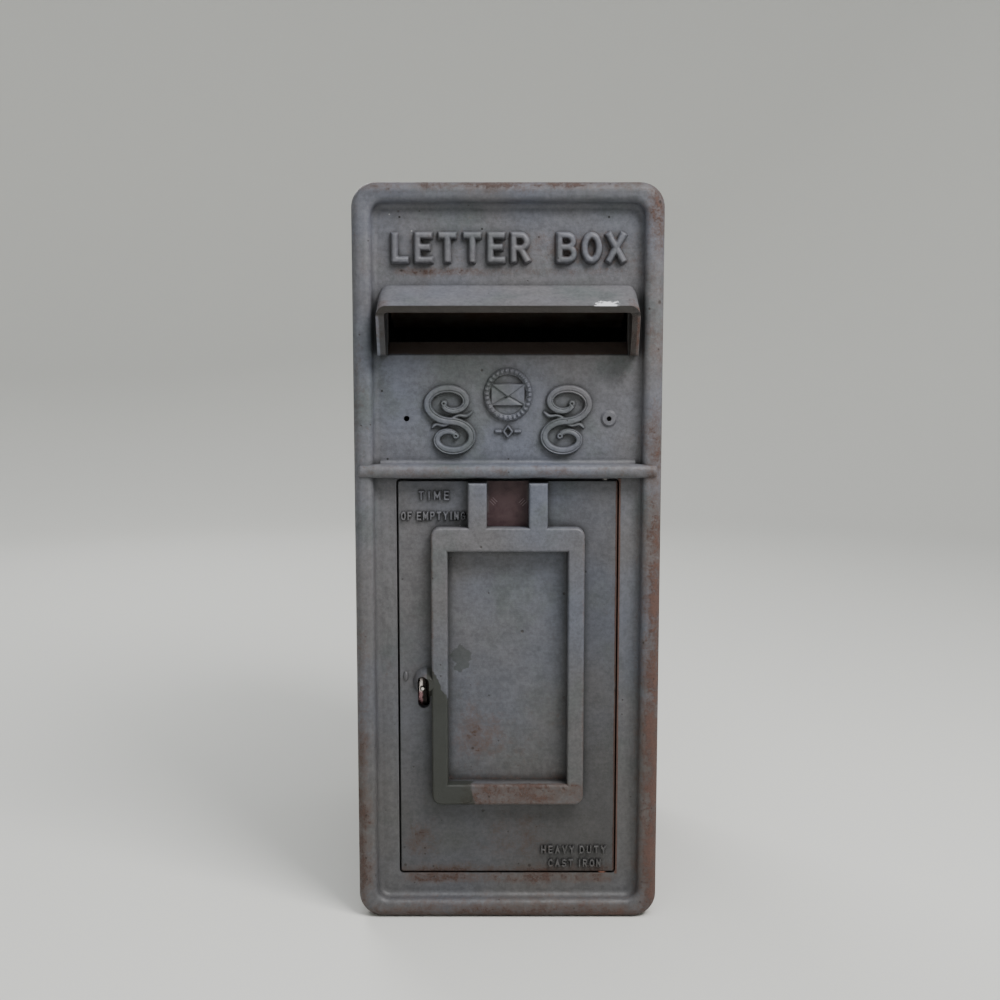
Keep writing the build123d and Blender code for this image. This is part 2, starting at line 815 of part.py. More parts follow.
def keyhole_cover():
    """Drop cover behind the keyhole, bored for its rivet, heavier below it."""
    with BuildPart() as cover:
        with BuildSketch(upright(cover_front + cover_thickness)):
            with BuildLine():
                low = lock_middle - cover_bottom + cover_width / 2
                high = lock_middle + cover_top - cover_width / 3
                left = cover_x - cover_width / 2
                right = cover_x + cover_width / 2
                Line((left, low), (left + cover_width / 6, high))
                ThreePointArc(
                    (left + cover_width / 6, high),
                    (cover_x, lock_middle + cover_top),
                    (right - cover_width / 6, high),
                )
                Line((right - cover_width / 6, high), (right, low))
                ThreePointArc((right, low), (cover_x, lock_middle - cover_bottom), (left, low))
            make_face()
            with Locations((cover_x, lock_middle)):
                Circle(cover_bore_radius, mode=Mode.SUBTRACT)
        extrude(amount=cover_thickness)
        fillet(cover.faces().sort_by(Axis.Y)[0].outer_wire().edges(), cover_edge_round)
    finish(cover, "keyhole_cover")
    with BuildPart() as rivet:
        with BuildSketch(upright(lock_inside)):
            with Locations((cover_x, lock_middle)):
                Circle(rivet_radius)
        extrude(amount=lock_inside - cover_front + rivet_play)
        with BuildSketch(upright(cover_front - rivet_play)):
            with Locations((cover_x, lock_middle)):
                Circle(rivet_head_radius)
        extrude(amount=rivet_head_height)
        head = rivet.faces().sort_by(Axis.Y)[0]
        fillet(head.edges(), rivet_head_round)
    finish(rivet, "cover_rivet")


def lock_case():
    """Lock case open at the back, with key entry, bolt port, screw posts and rivet hole."""
    with BuildPart() as case:
        with BuildSketch(upright(lock_back)):
            with Locations((lock_x, lock_middle)):
                RectangleRounded(lock_width, lock_height, lock_corner_radius)
        extrude(amount=lock_depth)
        with BuildSketch(upright(lock_back)):
            with Locations((lock_x, lock_middle)):
                Rectangle(lock_width - 2 * lock_wall, lock_height - 2 * lock_wall)
        extrude(amount=lock_depth - lock_wall, mode=Mode.SUBTRACT)
        with BuildSketch(upright(lock_back)):
            with Locations(*lock_screw_points):
                Circle(lock_post_radius)
        extrude(amount=lock_depth - lock_wall)
        with BuildSketch(upright(lock_back)):
            with Locations(*lock_screw_points):
                Circle(lock_screw_radius + screw_clearance)
        extrude(amount=lock_depth, mode=Mode.SUBTRACT)
        with BuildSketch(upright(lock_inside)):
            with Locations((keyhole_x, key_z)):
                Circle(key_barrel_radius)
            with Locations((keyhole_x, key_z - key_bit_length / 2)):
                Rectangle(key_bit_width, key_bit_length)
            with Locations((cover_x, lock_middle)):
                Circle(rivet_radius + screw_clearance)
        extrude(amount=lock_wall, mode=Mode.SUBTRACT)
        with BuildSketch(upright(bolt_head_front + bolt_head_thickness + bolt_clearance)):
            with Locations((lock_left, bolt_z)):
                Rectangle(3 * lock_wall, bolt_height + 2 * bolt_clearance)
        extrude(amount=bolt_head_thickness + 2 * bolt_clearance, mode=Mode.SUBTRACT)
    finish(case, "lock_case")


def lock_cap():
    """Plate that closes the lock case from behind."""
    with BuildPart() as cap:
        with BuildSketch(upright(lock_back + lock_wall)):
            with Locations((lock_x, lock_middle)):
                RectangleRounded(lock_width, lock_height, lock_corner_radius)
            with Locations(*lock_screw_points):
                Circle(lock_screw_radius + screw_clearance, mode=Mode.SUBTRACT)
            with Locations((keyhole_x, key_z)):
                Circle(key_pin_radius + screw_clearance, mode=Mode.SUBTRACT)
            with Locations((guide_x, bolt_z), (lever_pivot_x, bolt_z)):
                Circle(lever_pivot_radius + screw_clearance, mode=Mode.SUBTRACT)
        extrude(amount=lock_wall)
    finish(cap, "lock_cap")


def lock_bolt():
    """Sliding bolt: thick head, slotted tail, talon for the key and a stump for the levers."""
    with BuildPart() as bolt:
        with BuildSketch(upright(bolt_front + bolt_thickness)):
            with Locations((bolt_left + bolt_length / 2, bolt_z)):
                Rectangle(bolt_length, bolt_height)
            with Locations((guide_x + bolt_throw / 2, bolt_z)):
                SlotOverall(
                    guide_slot_length, 2 * (guide_pin_radius + bolt_clearance), mode=Mode.SUBTRACT
                )
            with Locations((keyhole_x, bolt_z - bolt_height / 2)):
                Rectangle(talon_width, talon_height, mode=Mode.SUBTRACT)
        extrude(amount=bolt_thickness)
        with BuildSketch(upright(bolt_head_front + bolt_head_thickness)):
            with Locations((bolt_left + bolt_head_length / 2, bolt_z)):
                Rectangle(bolt_head_length, bolt_height)
        extrude(amount=bolt_head_thickness)
        with BuildSketch(upright(bolt_front + bolt_thickness + levers_depth)):
            with Locations((stump_x, bolt_z)):
                Circle(stump_radius)
        extrude(amount=levers_depth)
    finish(bolt, "lock_bolt")


def lock_levers():
    """Lever plates on one pivot, each with a window for the bolt's stump."""
    window_x = stump_x - bolt_throw / 2
    window_width = bolt_throw + 2 * (stump_radius + stump_clearance)
    belly_z = bolt_z - lever_height / 2 - lever_belly_drop
    spring_foot = bolt_z + lever_height / 2
    spring_top = spring_foot + spring_rise
    with BuildPart() as levers:
        for number in range(lever_count):
            with BuildSketch(upright(levers_front + number * lever_pitch + lever_thickness)):
                with Locations(((levers_left + levers_right) / 2, bolt_z)):
                    Rectangle(levers_right - levers_left, lever_height)
                with Locations((keyhole_x, belly_z)):
                    Circle(lever_belly_radius + number * lever_belly_step, mode=Mode.SUBTRACT)
                with Locations((window_x, bolt_z)):
                    Rectangle(window_width, 3 * stump_radius, mode=Mode.SUBTRACT)
                with Locations((guide_x, bolt_z), (lever_pivot_x, bolt_z)):
                    Circle(lever_pivot_radius + lever_bore_clearance, mode=Mode.SUBTRACT)
            extrude(amount=lever_thickness)
    finish(levers, "lock_levers")
    with BuildPart() as springs:
        for number in range(lever_count):
            with BuildSketch(upright(levers_front + number * lever_pitch + lever_thickness)):
                with BuildLine():
                    Polyline(
                        (levers_left + spring_inset, spring_foot),
                        (levers_left + spring_inset, spring_foot + spring_thickness),
                        (levers_right - spring_end_inset, spring_top + spring_thickness),
                        (levers_right - spring_end_inset, spring_top),
                        close=True,
                    )
                make_face()
            extrude(amount=lever_thickness)
    finish(springs, "lever_springs")


def lock_pins():
    """Lever pivot and bolt guide in one pair, and the drill pin that centres a pipe key."""
    with BuildPart() as pins:
        with BuildSketch(upright(lock_back + lock_wall)):
            with Locations((guide_x, bolt_z), (lever_pivot_x, bolt_z)):
                Circle(lever_pivot_radius)
        extrude(amount=lock_depth)
    finish(pins, "lever_pins")
    with BuildPart() as key_pin:
        with BuildSketch(upright(lock_back + lock_wall)):
            with Locations((keyhole_x, key_z)):
                Circle(key_pin_radius)
        extrude(amount=lock_depth + lock_wall - tip_gap)
    finish(key_pin, "key_pin")


def lock_keep():
    """Block behind the left stile with a pocket for the bolt."""
    with BuildPart() as keep:
        with BuildSketch(upright(keep_back)):
            with Locations((keep_x, bolt_z)):
                Rectangle(keep_width, keep_height)
        extrude(amount=keep_depth)
        with BuildSketch(upright(pocket_back)):
            with Locations((keep_right - bolt_throw / 2, bolt_z)):
                Rectangle(bolt_throw + pocket_spare, bolt_height + 2 * pocket_clearance)
        extrude(amount=pocket_back - pocket_front, mode=Mode.SUBTRACT)
        with BuildSketch(upright(keep_back)):
            with Locations(*keep_screw_points):
                Circle(screw_radius + screw_clearance)
        extrude(amount=keep_depth, mode=Mode.SUBTRACT)
    finish(keep, "lock_keep")


def bent_sheet(name, points, thickness_normal, screw_points):
    """Sheet bent along a side profile, with screw holes in its upright flange."""
    back = [(y + thickness_normal[i][0], z + thickness_normal[i][1]) for i, (y, z) in enumerate(points)]
    with BuildPart() as sheet:
        with BuildSketch(Plane.YZ):
            with BuildLine():
                Polyline(*points, *reversed(back), close=True)
            make_face()
        extrude(amount=sheet_half, both=True)
        with BuildSketch(upright(plate_thickness + 3 * sheet_thickness)):
            with Locations(*screw_points):
                Circle(screw_radius + screw_clearance)
        extrude(amount=3 * sheet_thickness, mode=Mode.SUBTRACT)
    finish(sheet, name)


def chute_pieces():
    """Floor of the chute below the aperture and the baffle above it, both bent sheet."""
    top = aperture_bottom - sill_thickness - sheet_gap
    t = sheet_thickness
    mitre = t * sheet_mitre
    bent_sheet(
        "chute_floor",
        [
            at(plate_thickness, top - chute_flange),
            at(plate_thickness, top),
            at(plate_thickness + chute_run, top - chute_fall),
        ],
        [(t, 0), (t, -mitre), (0, -mitre)],
        chute_screw_points,
    )
    low = aperture_top + baffle_gap
    bent_sheet(
        "chute_baffle",
        [
            at(plate_thickness, low + chute_flange),
            at(plate_thickness, low),
            at(plate_thickness + baffle_run, low - baffle_fall),
        ],
        [(t, 0), (t, mitre), (0, mitre)],
        baffle_screw_points,
    )


def letter_guard():
    """Welded wire guard behind the door's lower part, standing on two flat feet."""
    half = body_inner_half - guard_side_margin
    foot_y = face_y + body_front + guard_depth
    wire_y = foot_y - guard_foot_width / 2
    floor = body_wall + guard_foot_thickness
    lowest = floor + guard_bar_radius - guard_weld
    bar_pitch = (guard_height - lowest) / (guard_bar_count - 1)
    wire_pitch = 2 * (half - guard_wire_end) / (guard_upright_count - 1)
    with BuildPart() as guard:
        with BuildSketch(Plane.YZ.offset(-half)):
            for number in range(guard_bar_count):
                with Locations((wire_y, lowest + number * bar_pitch)):
                    Circle(guard_bar_radius)
        extrude(amount=2 * half)
        with BuildSketch(Plane.XY.offset(lowest)):
            with Locations((0, wire_y)):
                with GridLocations(wire_pitch, 1, guard_upright_count, 1):
                    Circle(guard_wire_radius)
        extrude(amount=guard_height - lowest)
        with BuildSketch(Plane.XY.offset(body_wall)):
            with Locations((0, foot_y)):
                with GridLocations(2 * guard_screw_x, 1, 2, 1):
                    Rectangle(guard_foot_width, guard_foot_width + 2 * guard_wire_radius)
                    Circle(screw_radius + screw_clearance, mode=Mode.SUBTRACT)
        extrude(amount=guard_foot_thickness)
    finish(guard, "letter_guard")
    with BuildPart() as screws:
        with BuildSketch(Plane.XY.offset(guard_weld)):
            with Locations((0, foot_y)):
                with GridLocations(2 * guard_screw_x, 1, 2, 1):
                    Circle(screw_radius)
        extrude(amount=floor - guard_weld)
        with BuildSketch(Plane.XY.offset(floor)):
            with Locations((0, foot_y)):
                with GridLocations(2 * guard_screw_x, 1, 2, 1):
                    Circle(screw_head_radius)
        extrude(amount=screw_head_height)
    finish(screws, "guard_screws")


def small_screws():
    """Every screw and bolt that lies along the depth."""
    head = (screw_head_radius, screw_head_height)
    seat = body_front + body_lug_depth
    fixings(
        "front_bolts",
        lug_points,
        seat,
        front_bolt_radius,
        body_lug_depth + front_bolt_grip - tip_gap,
        front_bolt_head,
        front_bolt_head_height,
        sides=6,
    )
    seat = plate_thickness + keeper_thickness
    fixings("keeper_screws", keeper_screw_points, seat, screw_radius, keeper_thickness + screw_grip, *head)
    seat = plate_thickness + keep_depth
    fixings("keep_screws", keep_screw_points, seat, screw_radius, keep_depth + screw_grip, *head)
    seat = plate_thickness + sheet_thickness
    points = chute_screw_points + baffle_screw_points
    fixings("chute_screws", points, seat, screw_radius, sheet_thickness + screw_grip, *head)
    seat = lock_back + lock_wall
    length = lock_depth + lock_wall + lock_standoff + screw_grip - tip_gap
    head = (lock_screw_head, screw_head_height)
    fixings("lock_screws", lock_screw_points, seat, lock_screw_radius, length, *head)


os.makedirs("parts", exist_ok=True)
front_casting()
body_shell()
hinge_pins()
hinge_washer()
hinge_keeper()
door()
notice_pieces()
tablet()
keyhole_cover()
lock_case()
lock_cap()
lock_bolt()
lock_levers()
lock_pins()
lock_keep()
chute_pieces()
letter_guard()
small_screws()
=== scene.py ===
import json
import math

import bpy
import numpy as np
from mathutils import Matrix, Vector


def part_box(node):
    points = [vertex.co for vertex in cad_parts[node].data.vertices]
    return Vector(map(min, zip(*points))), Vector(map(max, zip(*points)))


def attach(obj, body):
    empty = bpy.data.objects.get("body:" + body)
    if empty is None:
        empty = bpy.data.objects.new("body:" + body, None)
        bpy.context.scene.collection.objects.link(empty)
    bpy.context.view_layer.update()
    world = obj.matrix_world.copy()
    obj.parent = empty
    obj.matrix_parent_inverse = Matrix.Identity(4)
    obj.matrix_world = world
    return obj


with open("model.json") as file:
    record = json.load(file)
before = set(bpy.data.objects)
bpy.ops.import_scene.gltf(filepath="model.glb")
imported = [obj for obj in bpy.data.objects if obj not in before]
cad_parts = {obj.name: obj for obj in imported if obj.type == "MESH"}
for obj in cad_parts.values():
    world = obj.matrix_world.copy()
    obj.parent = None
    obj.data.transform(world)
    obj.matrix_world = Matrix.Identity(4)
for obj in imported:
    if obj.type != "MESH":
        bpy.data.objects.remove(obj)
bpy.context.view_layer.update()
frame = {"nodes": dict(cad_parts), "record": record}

MM = 0.001

# Places of the box's own parts, in metres. The flat front face is FACE, and "proud" is towards -Y.
case_low, case_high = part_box("front_casting")
body_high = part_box("body_shell")[1]
door_low, door_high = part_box("door")
plate_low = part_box("notice_plate")[0]
tablet_low, tablet_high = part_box("tablet")
lock_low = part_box("lock_case")[0]
HOOD_PROJECTION = 35 * MM
FACE = case_low.y + HOOD_PROJECTION
TOP = case_high.z
HALF_WIDTH = case_high.x
DOOR_HALF = door_high.x
DOOR_TOP = door_high.z
DOOR_BOTTOM = door_low.z
FRAME_HALF = DOOR_HALF - 27.4 * MM
FRAME_BOTTOM = DOOR_BOTTOM + 62.6 * MM

# The hood, the letter slot under it and the ledge over the door
LIP_Y = FACE - HOOD_PROJECTION
LIP_BOTTOM = TOP - 104.4 * MM
LEG_INNER, LEG_OUTER = 0.0912, 0.1022
LEG_BOTTOM, LEG_TOP = 0.466, 0.511
SLOT_BOTTOM, SLOT_TOP = 0.470, 0.522
SILL_BOTTOM, SILL_TOP = TOP - 0.140, TOP - 0.126
LEDGE_BOTTOM, LEDGE_TOP = 0.372, 0.392

# Relief on the front
HEADER_BASE = TOP - 65 * MM
HEADER_CAP = 26.4 * MM
HEADER_LEFT = -95 * MM
HEADER_RIGHT = 96 * MM
PANEL_MIDDLE = 421.5 * MM
PANEL_LOW = 413 * MM
SCROLL_X = -46.0 * MM

# Where the primer's brush marks turn from upright to level
BRUSH_TURN = 0.385

# Height of the bump that a smooth metal's tarnish gives
TARNISH_BUMP = 0.00008


def linked(name, data):
    """A new object with this data, in the scene."""
    made = bpy.data.objects.new(name, data)
    bpy.context.scene.collection.objects.link(made)
    return made


def give(mesh, coat):
    """Makes coat the only material of the mesh."""
    mesh.materials.clear()
    mesh.materials.append(coat)


def travelled(line):
    """Distance along the line to each of its points."""
    return np.r_[0, np.cumsum(np.hypot(*np.diff(line, axis=0).T))]


def smooth_path(points, spacing):
    """Evenly spaced points of a Catmull-Rom curve through the given (x, z) points.

    Between points b and c, with neighbours a and d, the curve is
    b + t (c - a) / 2 + t^2 (2a - 5b + 4c - d) / 2 + t^3 (3b - a - 3c + d) / 2.
    """
    knots = np.array(points, float)
    ends = np.vstack([2 * knots[0] - knots[1], knots, 2 * knots[-1] - knots[-2]])
    t = np.linspace(0, 1, 24, endpoint=False)[None, :, None]
    a, b, c, d = (ends[i:len(ends) - 3 + i, None, :] for i in range(4))
    bend = t**2 * (2 * a - 5 * b + 4 * c - d) / 2
    curve = b + t * (c - a) / 2 + bend + t**3 * (3 * b - a - 3 * c + d) / 2
    return even(np.vstack([curve.reshape(-1, 2), knots[-1:]]), spacing)


def even(line, spacing):
    """The same line with its points spaced evenly along its length."""
    step = travelled(line)
    count = max(4, int(step[-1] / spacing) + 1)
    along = np.linspace(0, step[-1], count)
    return np.stack([np.interp(along, step, line[:, i]) for i in range(2)], axis=1)


def loop(points, spacing):
    """Evenly spaced points of a closed line whose last given point is its first."""
    return even(np.array(points), spacing)[:-1]


def drawn_out(line, reach):
    """The same line with each end carried straight on by reach."""
    ends = []
    for tip, inner in ((line[0], line[1]), (line[-1], line[-2])):
        ends.append(tip + (tip - inner) / np.linalg.norm(tip - inner) * reach)
    return np.vstack([ends[:1], line, ends[1:]])


# Cross-sections of a stroke: places across it from -1 to 1, and the share of its height at each
ROUND = (np.linspace(-1, 1, 15), (1 - np.abs(np.linspace(-1, 1, 15)) ** 1.9) ** 0.75)
SLAB = (np.linspace(-1, 1, 19), (1 - np.abs(np.linspace(-1, 1, 19)) ** 3.2) ** 0.9)
RIBBON = (
    np.array([-1, -0.93, -0.8, -0.66, -0.6, -0.3, 0.0, 0.25, 0.36, 0.44, 0.52, 0.62, 0.7, 0.84, 0.94, 1]),
    np.array([0, 0.42, 0.8, 0.97, 1, 1.02, 1.02, 1, 0.84, 0.8, 0.86, 1, 0.97, 0.8, 0.42, 0]),
)


def tube_faces(rows, ring, closed=False):
    """Quads of a tube of rows rings with ring points each, its ends capped unless it is closed."""
    i, j = np.meshgrid(np.arange(rows if closed else rows - 1), np.arange(ring), indexing="ij")
    n = (i + 1) % rows
    k = (j + 1) % ring
    quads = np.stack([i * ring + j, n * ring + j, n * ring + k, i * ring + k], -1).reshape(-1, 4).tolist()
    if closed:
        return quads
    return quads + [list(range(ring)), list(range((rows - 1) * ring, rows * ring))[::-1]]


def ridge(line, width, height, section=ROUND, end_slope=0.34, taper=0.0, closed=False, beads=0):
    """Closed raised stroke: a cross-section carried along a path in the front's plane.

    The section gives a height, as a share of the stroke's, for each share u of its half width.
    Towards either end the height falls off in a straight slope over end_slope widths, and the width
    narrows by the share taper, as (1 - s / 0.3)^2 with s the share of the length from the end. Beads
    swell and shrink the height by a cosine along the path. The stroke's foot goes a quarter of its
    height behind the face. Returns (vertices, faces) with x, depth (negative is proud), z.
    """
    sink = height / 4
    if closed:
        lapped = np.vstack([line[-1:], line, line[:1]])
        step = travelled(lapped)
        tangent = np.gradient(lapped, step, axis=0)[1:-1]
        along = step[1:-1] / step[-2]
        fall = np.ones(len(line))
        narrow = np.ones(len(line))
    else:
        step = travelled(line)
        tangent = np.gradient(line, step, axis=0)
        along = step / step[-1]
        nearest_end = np.minimum(step, step[-1] - step)
        fall = np.clip(nearest_end / (end_slope * width), 0.04, 1)
        narrow = 1 - taper * (1 - np.clip(nearest_end / (0.3 * step[-1]), 0, 1)) ** 2
    fall = fall * (1 - 0.22 * (1 - np.cos(2 * np.pi * beads * along)))
    tangent = tangent / np.linalg.norm(tangent, axis=1, keepdims=True)
    normal = np.stack([-tangent[:, 1], tangent[:, 0]], axis=1)
    across = np.r_[section[0], 1, -1]
    out = np.r_[section[1], -sink / height, -sink / height]
    half = (width / 2 * narrow)[:, None, None]
    plane = line[:, None, :] + normal[:, None, :] * half * across[None, :, None]
    lift = np.where(out > 0, out[None, :] * fall[:, None], out[None, :]) * height
    vertices = np.stack([plane[..., 0], -lift, plane[..., 1]], axis=-1).reshape(-1, 3)
    return vertices, tube_faces(len(line), len(across), closed)


def relief_plate(width, height, rise, sink, count):
    """Closed plate whose front is the height field rise(x, z) over a rectangle centred on 0, 0.

    The front is a grid of count points a side at depth -rise, the back a flat grid at depth sink,
    and a strip joins their borders.
    """
    x, z = np.meshgrid(np.linspace(-width / 2, width / 2, count), np.linspace(-height / 2, height / 2, count))
    front = np.stack([x, -rise(x, z), z], -1).reshape(-1, 3)
    back = np.stack([x, np.full_like(x, sink), z], -1).reshape(-1, 3)
    i, j = np.meshgrid(np.arange(count - 1), np.arange(count - 1), indexing="ij")
    a = i * count + j
    quads = np.stack([a, a + 1, a + count + 1, a + count], -1).reshape(-1, 4)
    size = count * count
    edge = np.arange(count)
    sides = (edge, edge * count + count - 1, size - 1 - edge, size - count - edge * count)
    border = np.concatenate([side[:-1] for side in sides])
    after = np.roll(border, -1)
    strip = np.stack([border, border + size, after + size, after], -1)
    return np.vstack([front, back]), np.vstack([quads, quads[:, ::-1] + size, strip]).tolist()


def cast_piece(name, parts, body, slot, coat, voxel, softening=2):
    """Joins overlapping closed shapes into one skin, softened as a sand casting is.

    The skin is remeshed in cubes of side voxel and smoothed softening times.
    """
    vertices, faces, count = [], [], 0
    for points, polygons in parts:
        vertices.append(points)
        faces += [[index + count for index in polygon] for polygon in polygons]
        count += len(points)
    mesh = bpy.data.meshes.new(name)
    mesh.from_pydata(np.vstack(vertices).tolist(), [], faces)
    mesh.validate()
    piece = linked(name, mesh)
    melt = piece.modifiers.new("melt", "REMESH")
    melt.mode = "VOXEL"
    melt.voxel_size = voxel
    soften = piece.modifiers.new("soften", "SMOOTH")
    soften.iterations = softening
    bpy.context.view_layer.update()
    skin = bpy.data.meshes.new_from_object(piece.evaluated_get(bpy.context.evaluated_depsgraph_get()))
    piece.modifiers.clear()
    piece.data = skin
    skin.name = name
    skin.shade_smooth()
    give(skin, coat)
    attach(piece, body)
    return piece


def placed(strokes, x, z):
    """Strokes moved to a place on the front."""
    return [(points + np.array([x, FACE, z]), faces) for points, faces in strokes]


def bow(x, z, across, up, start, end):
    """Arc of an ellipse about (x, z), from start to end degrees, anticlockwise when end is larger."""
    turn = np.radians(np.linspace(start, end, 5 + int(abs(end - start) / 9)))
    return [(x + across * math.cos(a), z + up * math.sin(a)) for a in turn]


# Letters as stroke paths, each in a box of height 1
LETTERS = {
    "A": [[(0, 0), (0.31, 1)], [(0.31, 1), (0.62, 0)], [(0.13, 0.36), (0.49, 0.36)]],
    "B": [
        [(0, 0), (0, 1)],
        [(0, 1)] + bow(0.3, 0.76, 0.26, 0.24, 90, -90) + [(0, 0.52)],
        [(0, 0.52)] + bow(0.32, 0.26, 0.28, 0.26, 90, -90) + [(0, 0)],
    ],
    "C": [bow(0.33, 0.5, 0.33, 0.5, 48, 312)],
    "D": [[(0, 0), (0, 1)], [(0, 1)] + bow(0.22, 0.5, 0.38, 0.5, 90, -90) + [(0, 0)]],
    "E": [[(0, 0), (0, 1)], [(0, 1), (0.52, 1)], [(0, 0.52), (0.42, 0.52)], [(0, 0), (0.54, 0)]],
    "F": [[(0, 0), (0, 1)], [(0, 1), (0.52, 1)], [(0, 0.52), (0.42, 0.52)]],
    "G": [bow(0.33, 0.5, 0.33, 0.5, 48, 360), [(0.66, 0.48), (0.4, 0.48)]],
    "H": [[(0, 0), (0, 1)], [(0.56, 0), (0.56, 1)], [(0, 0.5), (0.56, 0.5)]],
    "I": [[(0.1, 0), (0.1, 1)]],
    "L": [[(0, 0), (0, 1)], [(0, 0), (0.5, 0)]],
    "M": [[(0, 0), (0, 1)], [(0, 1), (0.34, 0.25)], [(0.34, 0.25), (0.68, 1)], [(0.68, 1), (0.68, 0)]],
    "N": [[(0, 0), (0, 1)], [(0, 1), (0.56, 0)], [(0.56, 0), (0.56, 1)]],
    "O": [bow(0.31, 0.5, 0.31, 0.5, 90, 450)],
    "P": [[(0, 0), (0, 1)], [(0, 1)] + bow(0.28, 0.73, 0.27, 0.27, 90, -90) + [(0, 0.46)]],
    "R": [
        [(0, 0), (0, 1)],
        [(0, 1)] + bow(0.28, 0.74, 0.26, 0.26, 90, -90) + [(0, 0.48)],
        [(0.26, 0.48), (0.56, 0)],
    ],
    "S": [bow(0.3, 0.74, 0.27, 0.26, 35, 270)[:-1] + bow(0.3, 0.25, 0.29, 0.25, 90, -150)],
    "T": [[(0.28, 0), (0.28, 1)], [(0, 1), (0.56, 1)]],
    "U": [[(0, 1), (0, 0.3)] + bow(0.28, 0.28, 0.28, 0.28, 180, 360) + [(0.56, 1)]],
    "V": [[(0, 1), (0.29, 0)], [(0.29, 0), (0.58, 1)]],
    "X": [[(0, 0), (0.58, 1)], [(0, 1), (0.58, 0)]],
    "Y": [[(0, 1), (0.29, 0.48)], [(0.58, 1), (0.29, 0.48)], [(0.29, 0.48), (0.29, 0)]],
}
# The widths of letters that aren't PLAIN_WIDTH wide, as shares of the height
PLAIN_WIDTH = 0.58
LETTER_WIDTH = {"I": 0.2, "M": 0.68, "E": 0.52, "F": 0.5, "L": 0.5, "C": 0.6, "G": 0.64}
CLOSED_LETTER = "O"


def words(text, cap, stroke, relief, pitch, word_gap, squeeze=1.0, section=ROUND):
    """Strokes of a line of cast letters, starting at x = 0 on its baseline, and the line's length.

    Letters are cap high over all, pitch apart and narrowed by squeeze, with strokes stroke wide.
    """
    strokes, x = [], 0.0
    scale = cap - stroke
    for letter in text:
        if letter == " ":
            x += word_gap
            continue
        for path in LETTERS[letter]:
            line = np.array(path) * np.array([squeeze, 1]) * scale + np.array([x + stroke / 2, stroke / 2])
            if letter == CLOSED_LETTER:
                strokes.append(ridge(loop(line, stroke / 8), stroke, relief, section, closed=True))
            else:
                line = even(drawn_out(line, 0.45 * stroke), stroke / 8)
                strokes.append(ridge(line, stroke, relief, section, end_slope=0.22))
        x += LETTER_WIDTH.get(letter, PLAIN_WIDTH) * squeeze * scale + stroke + pitch
    return strokes, x - pitch


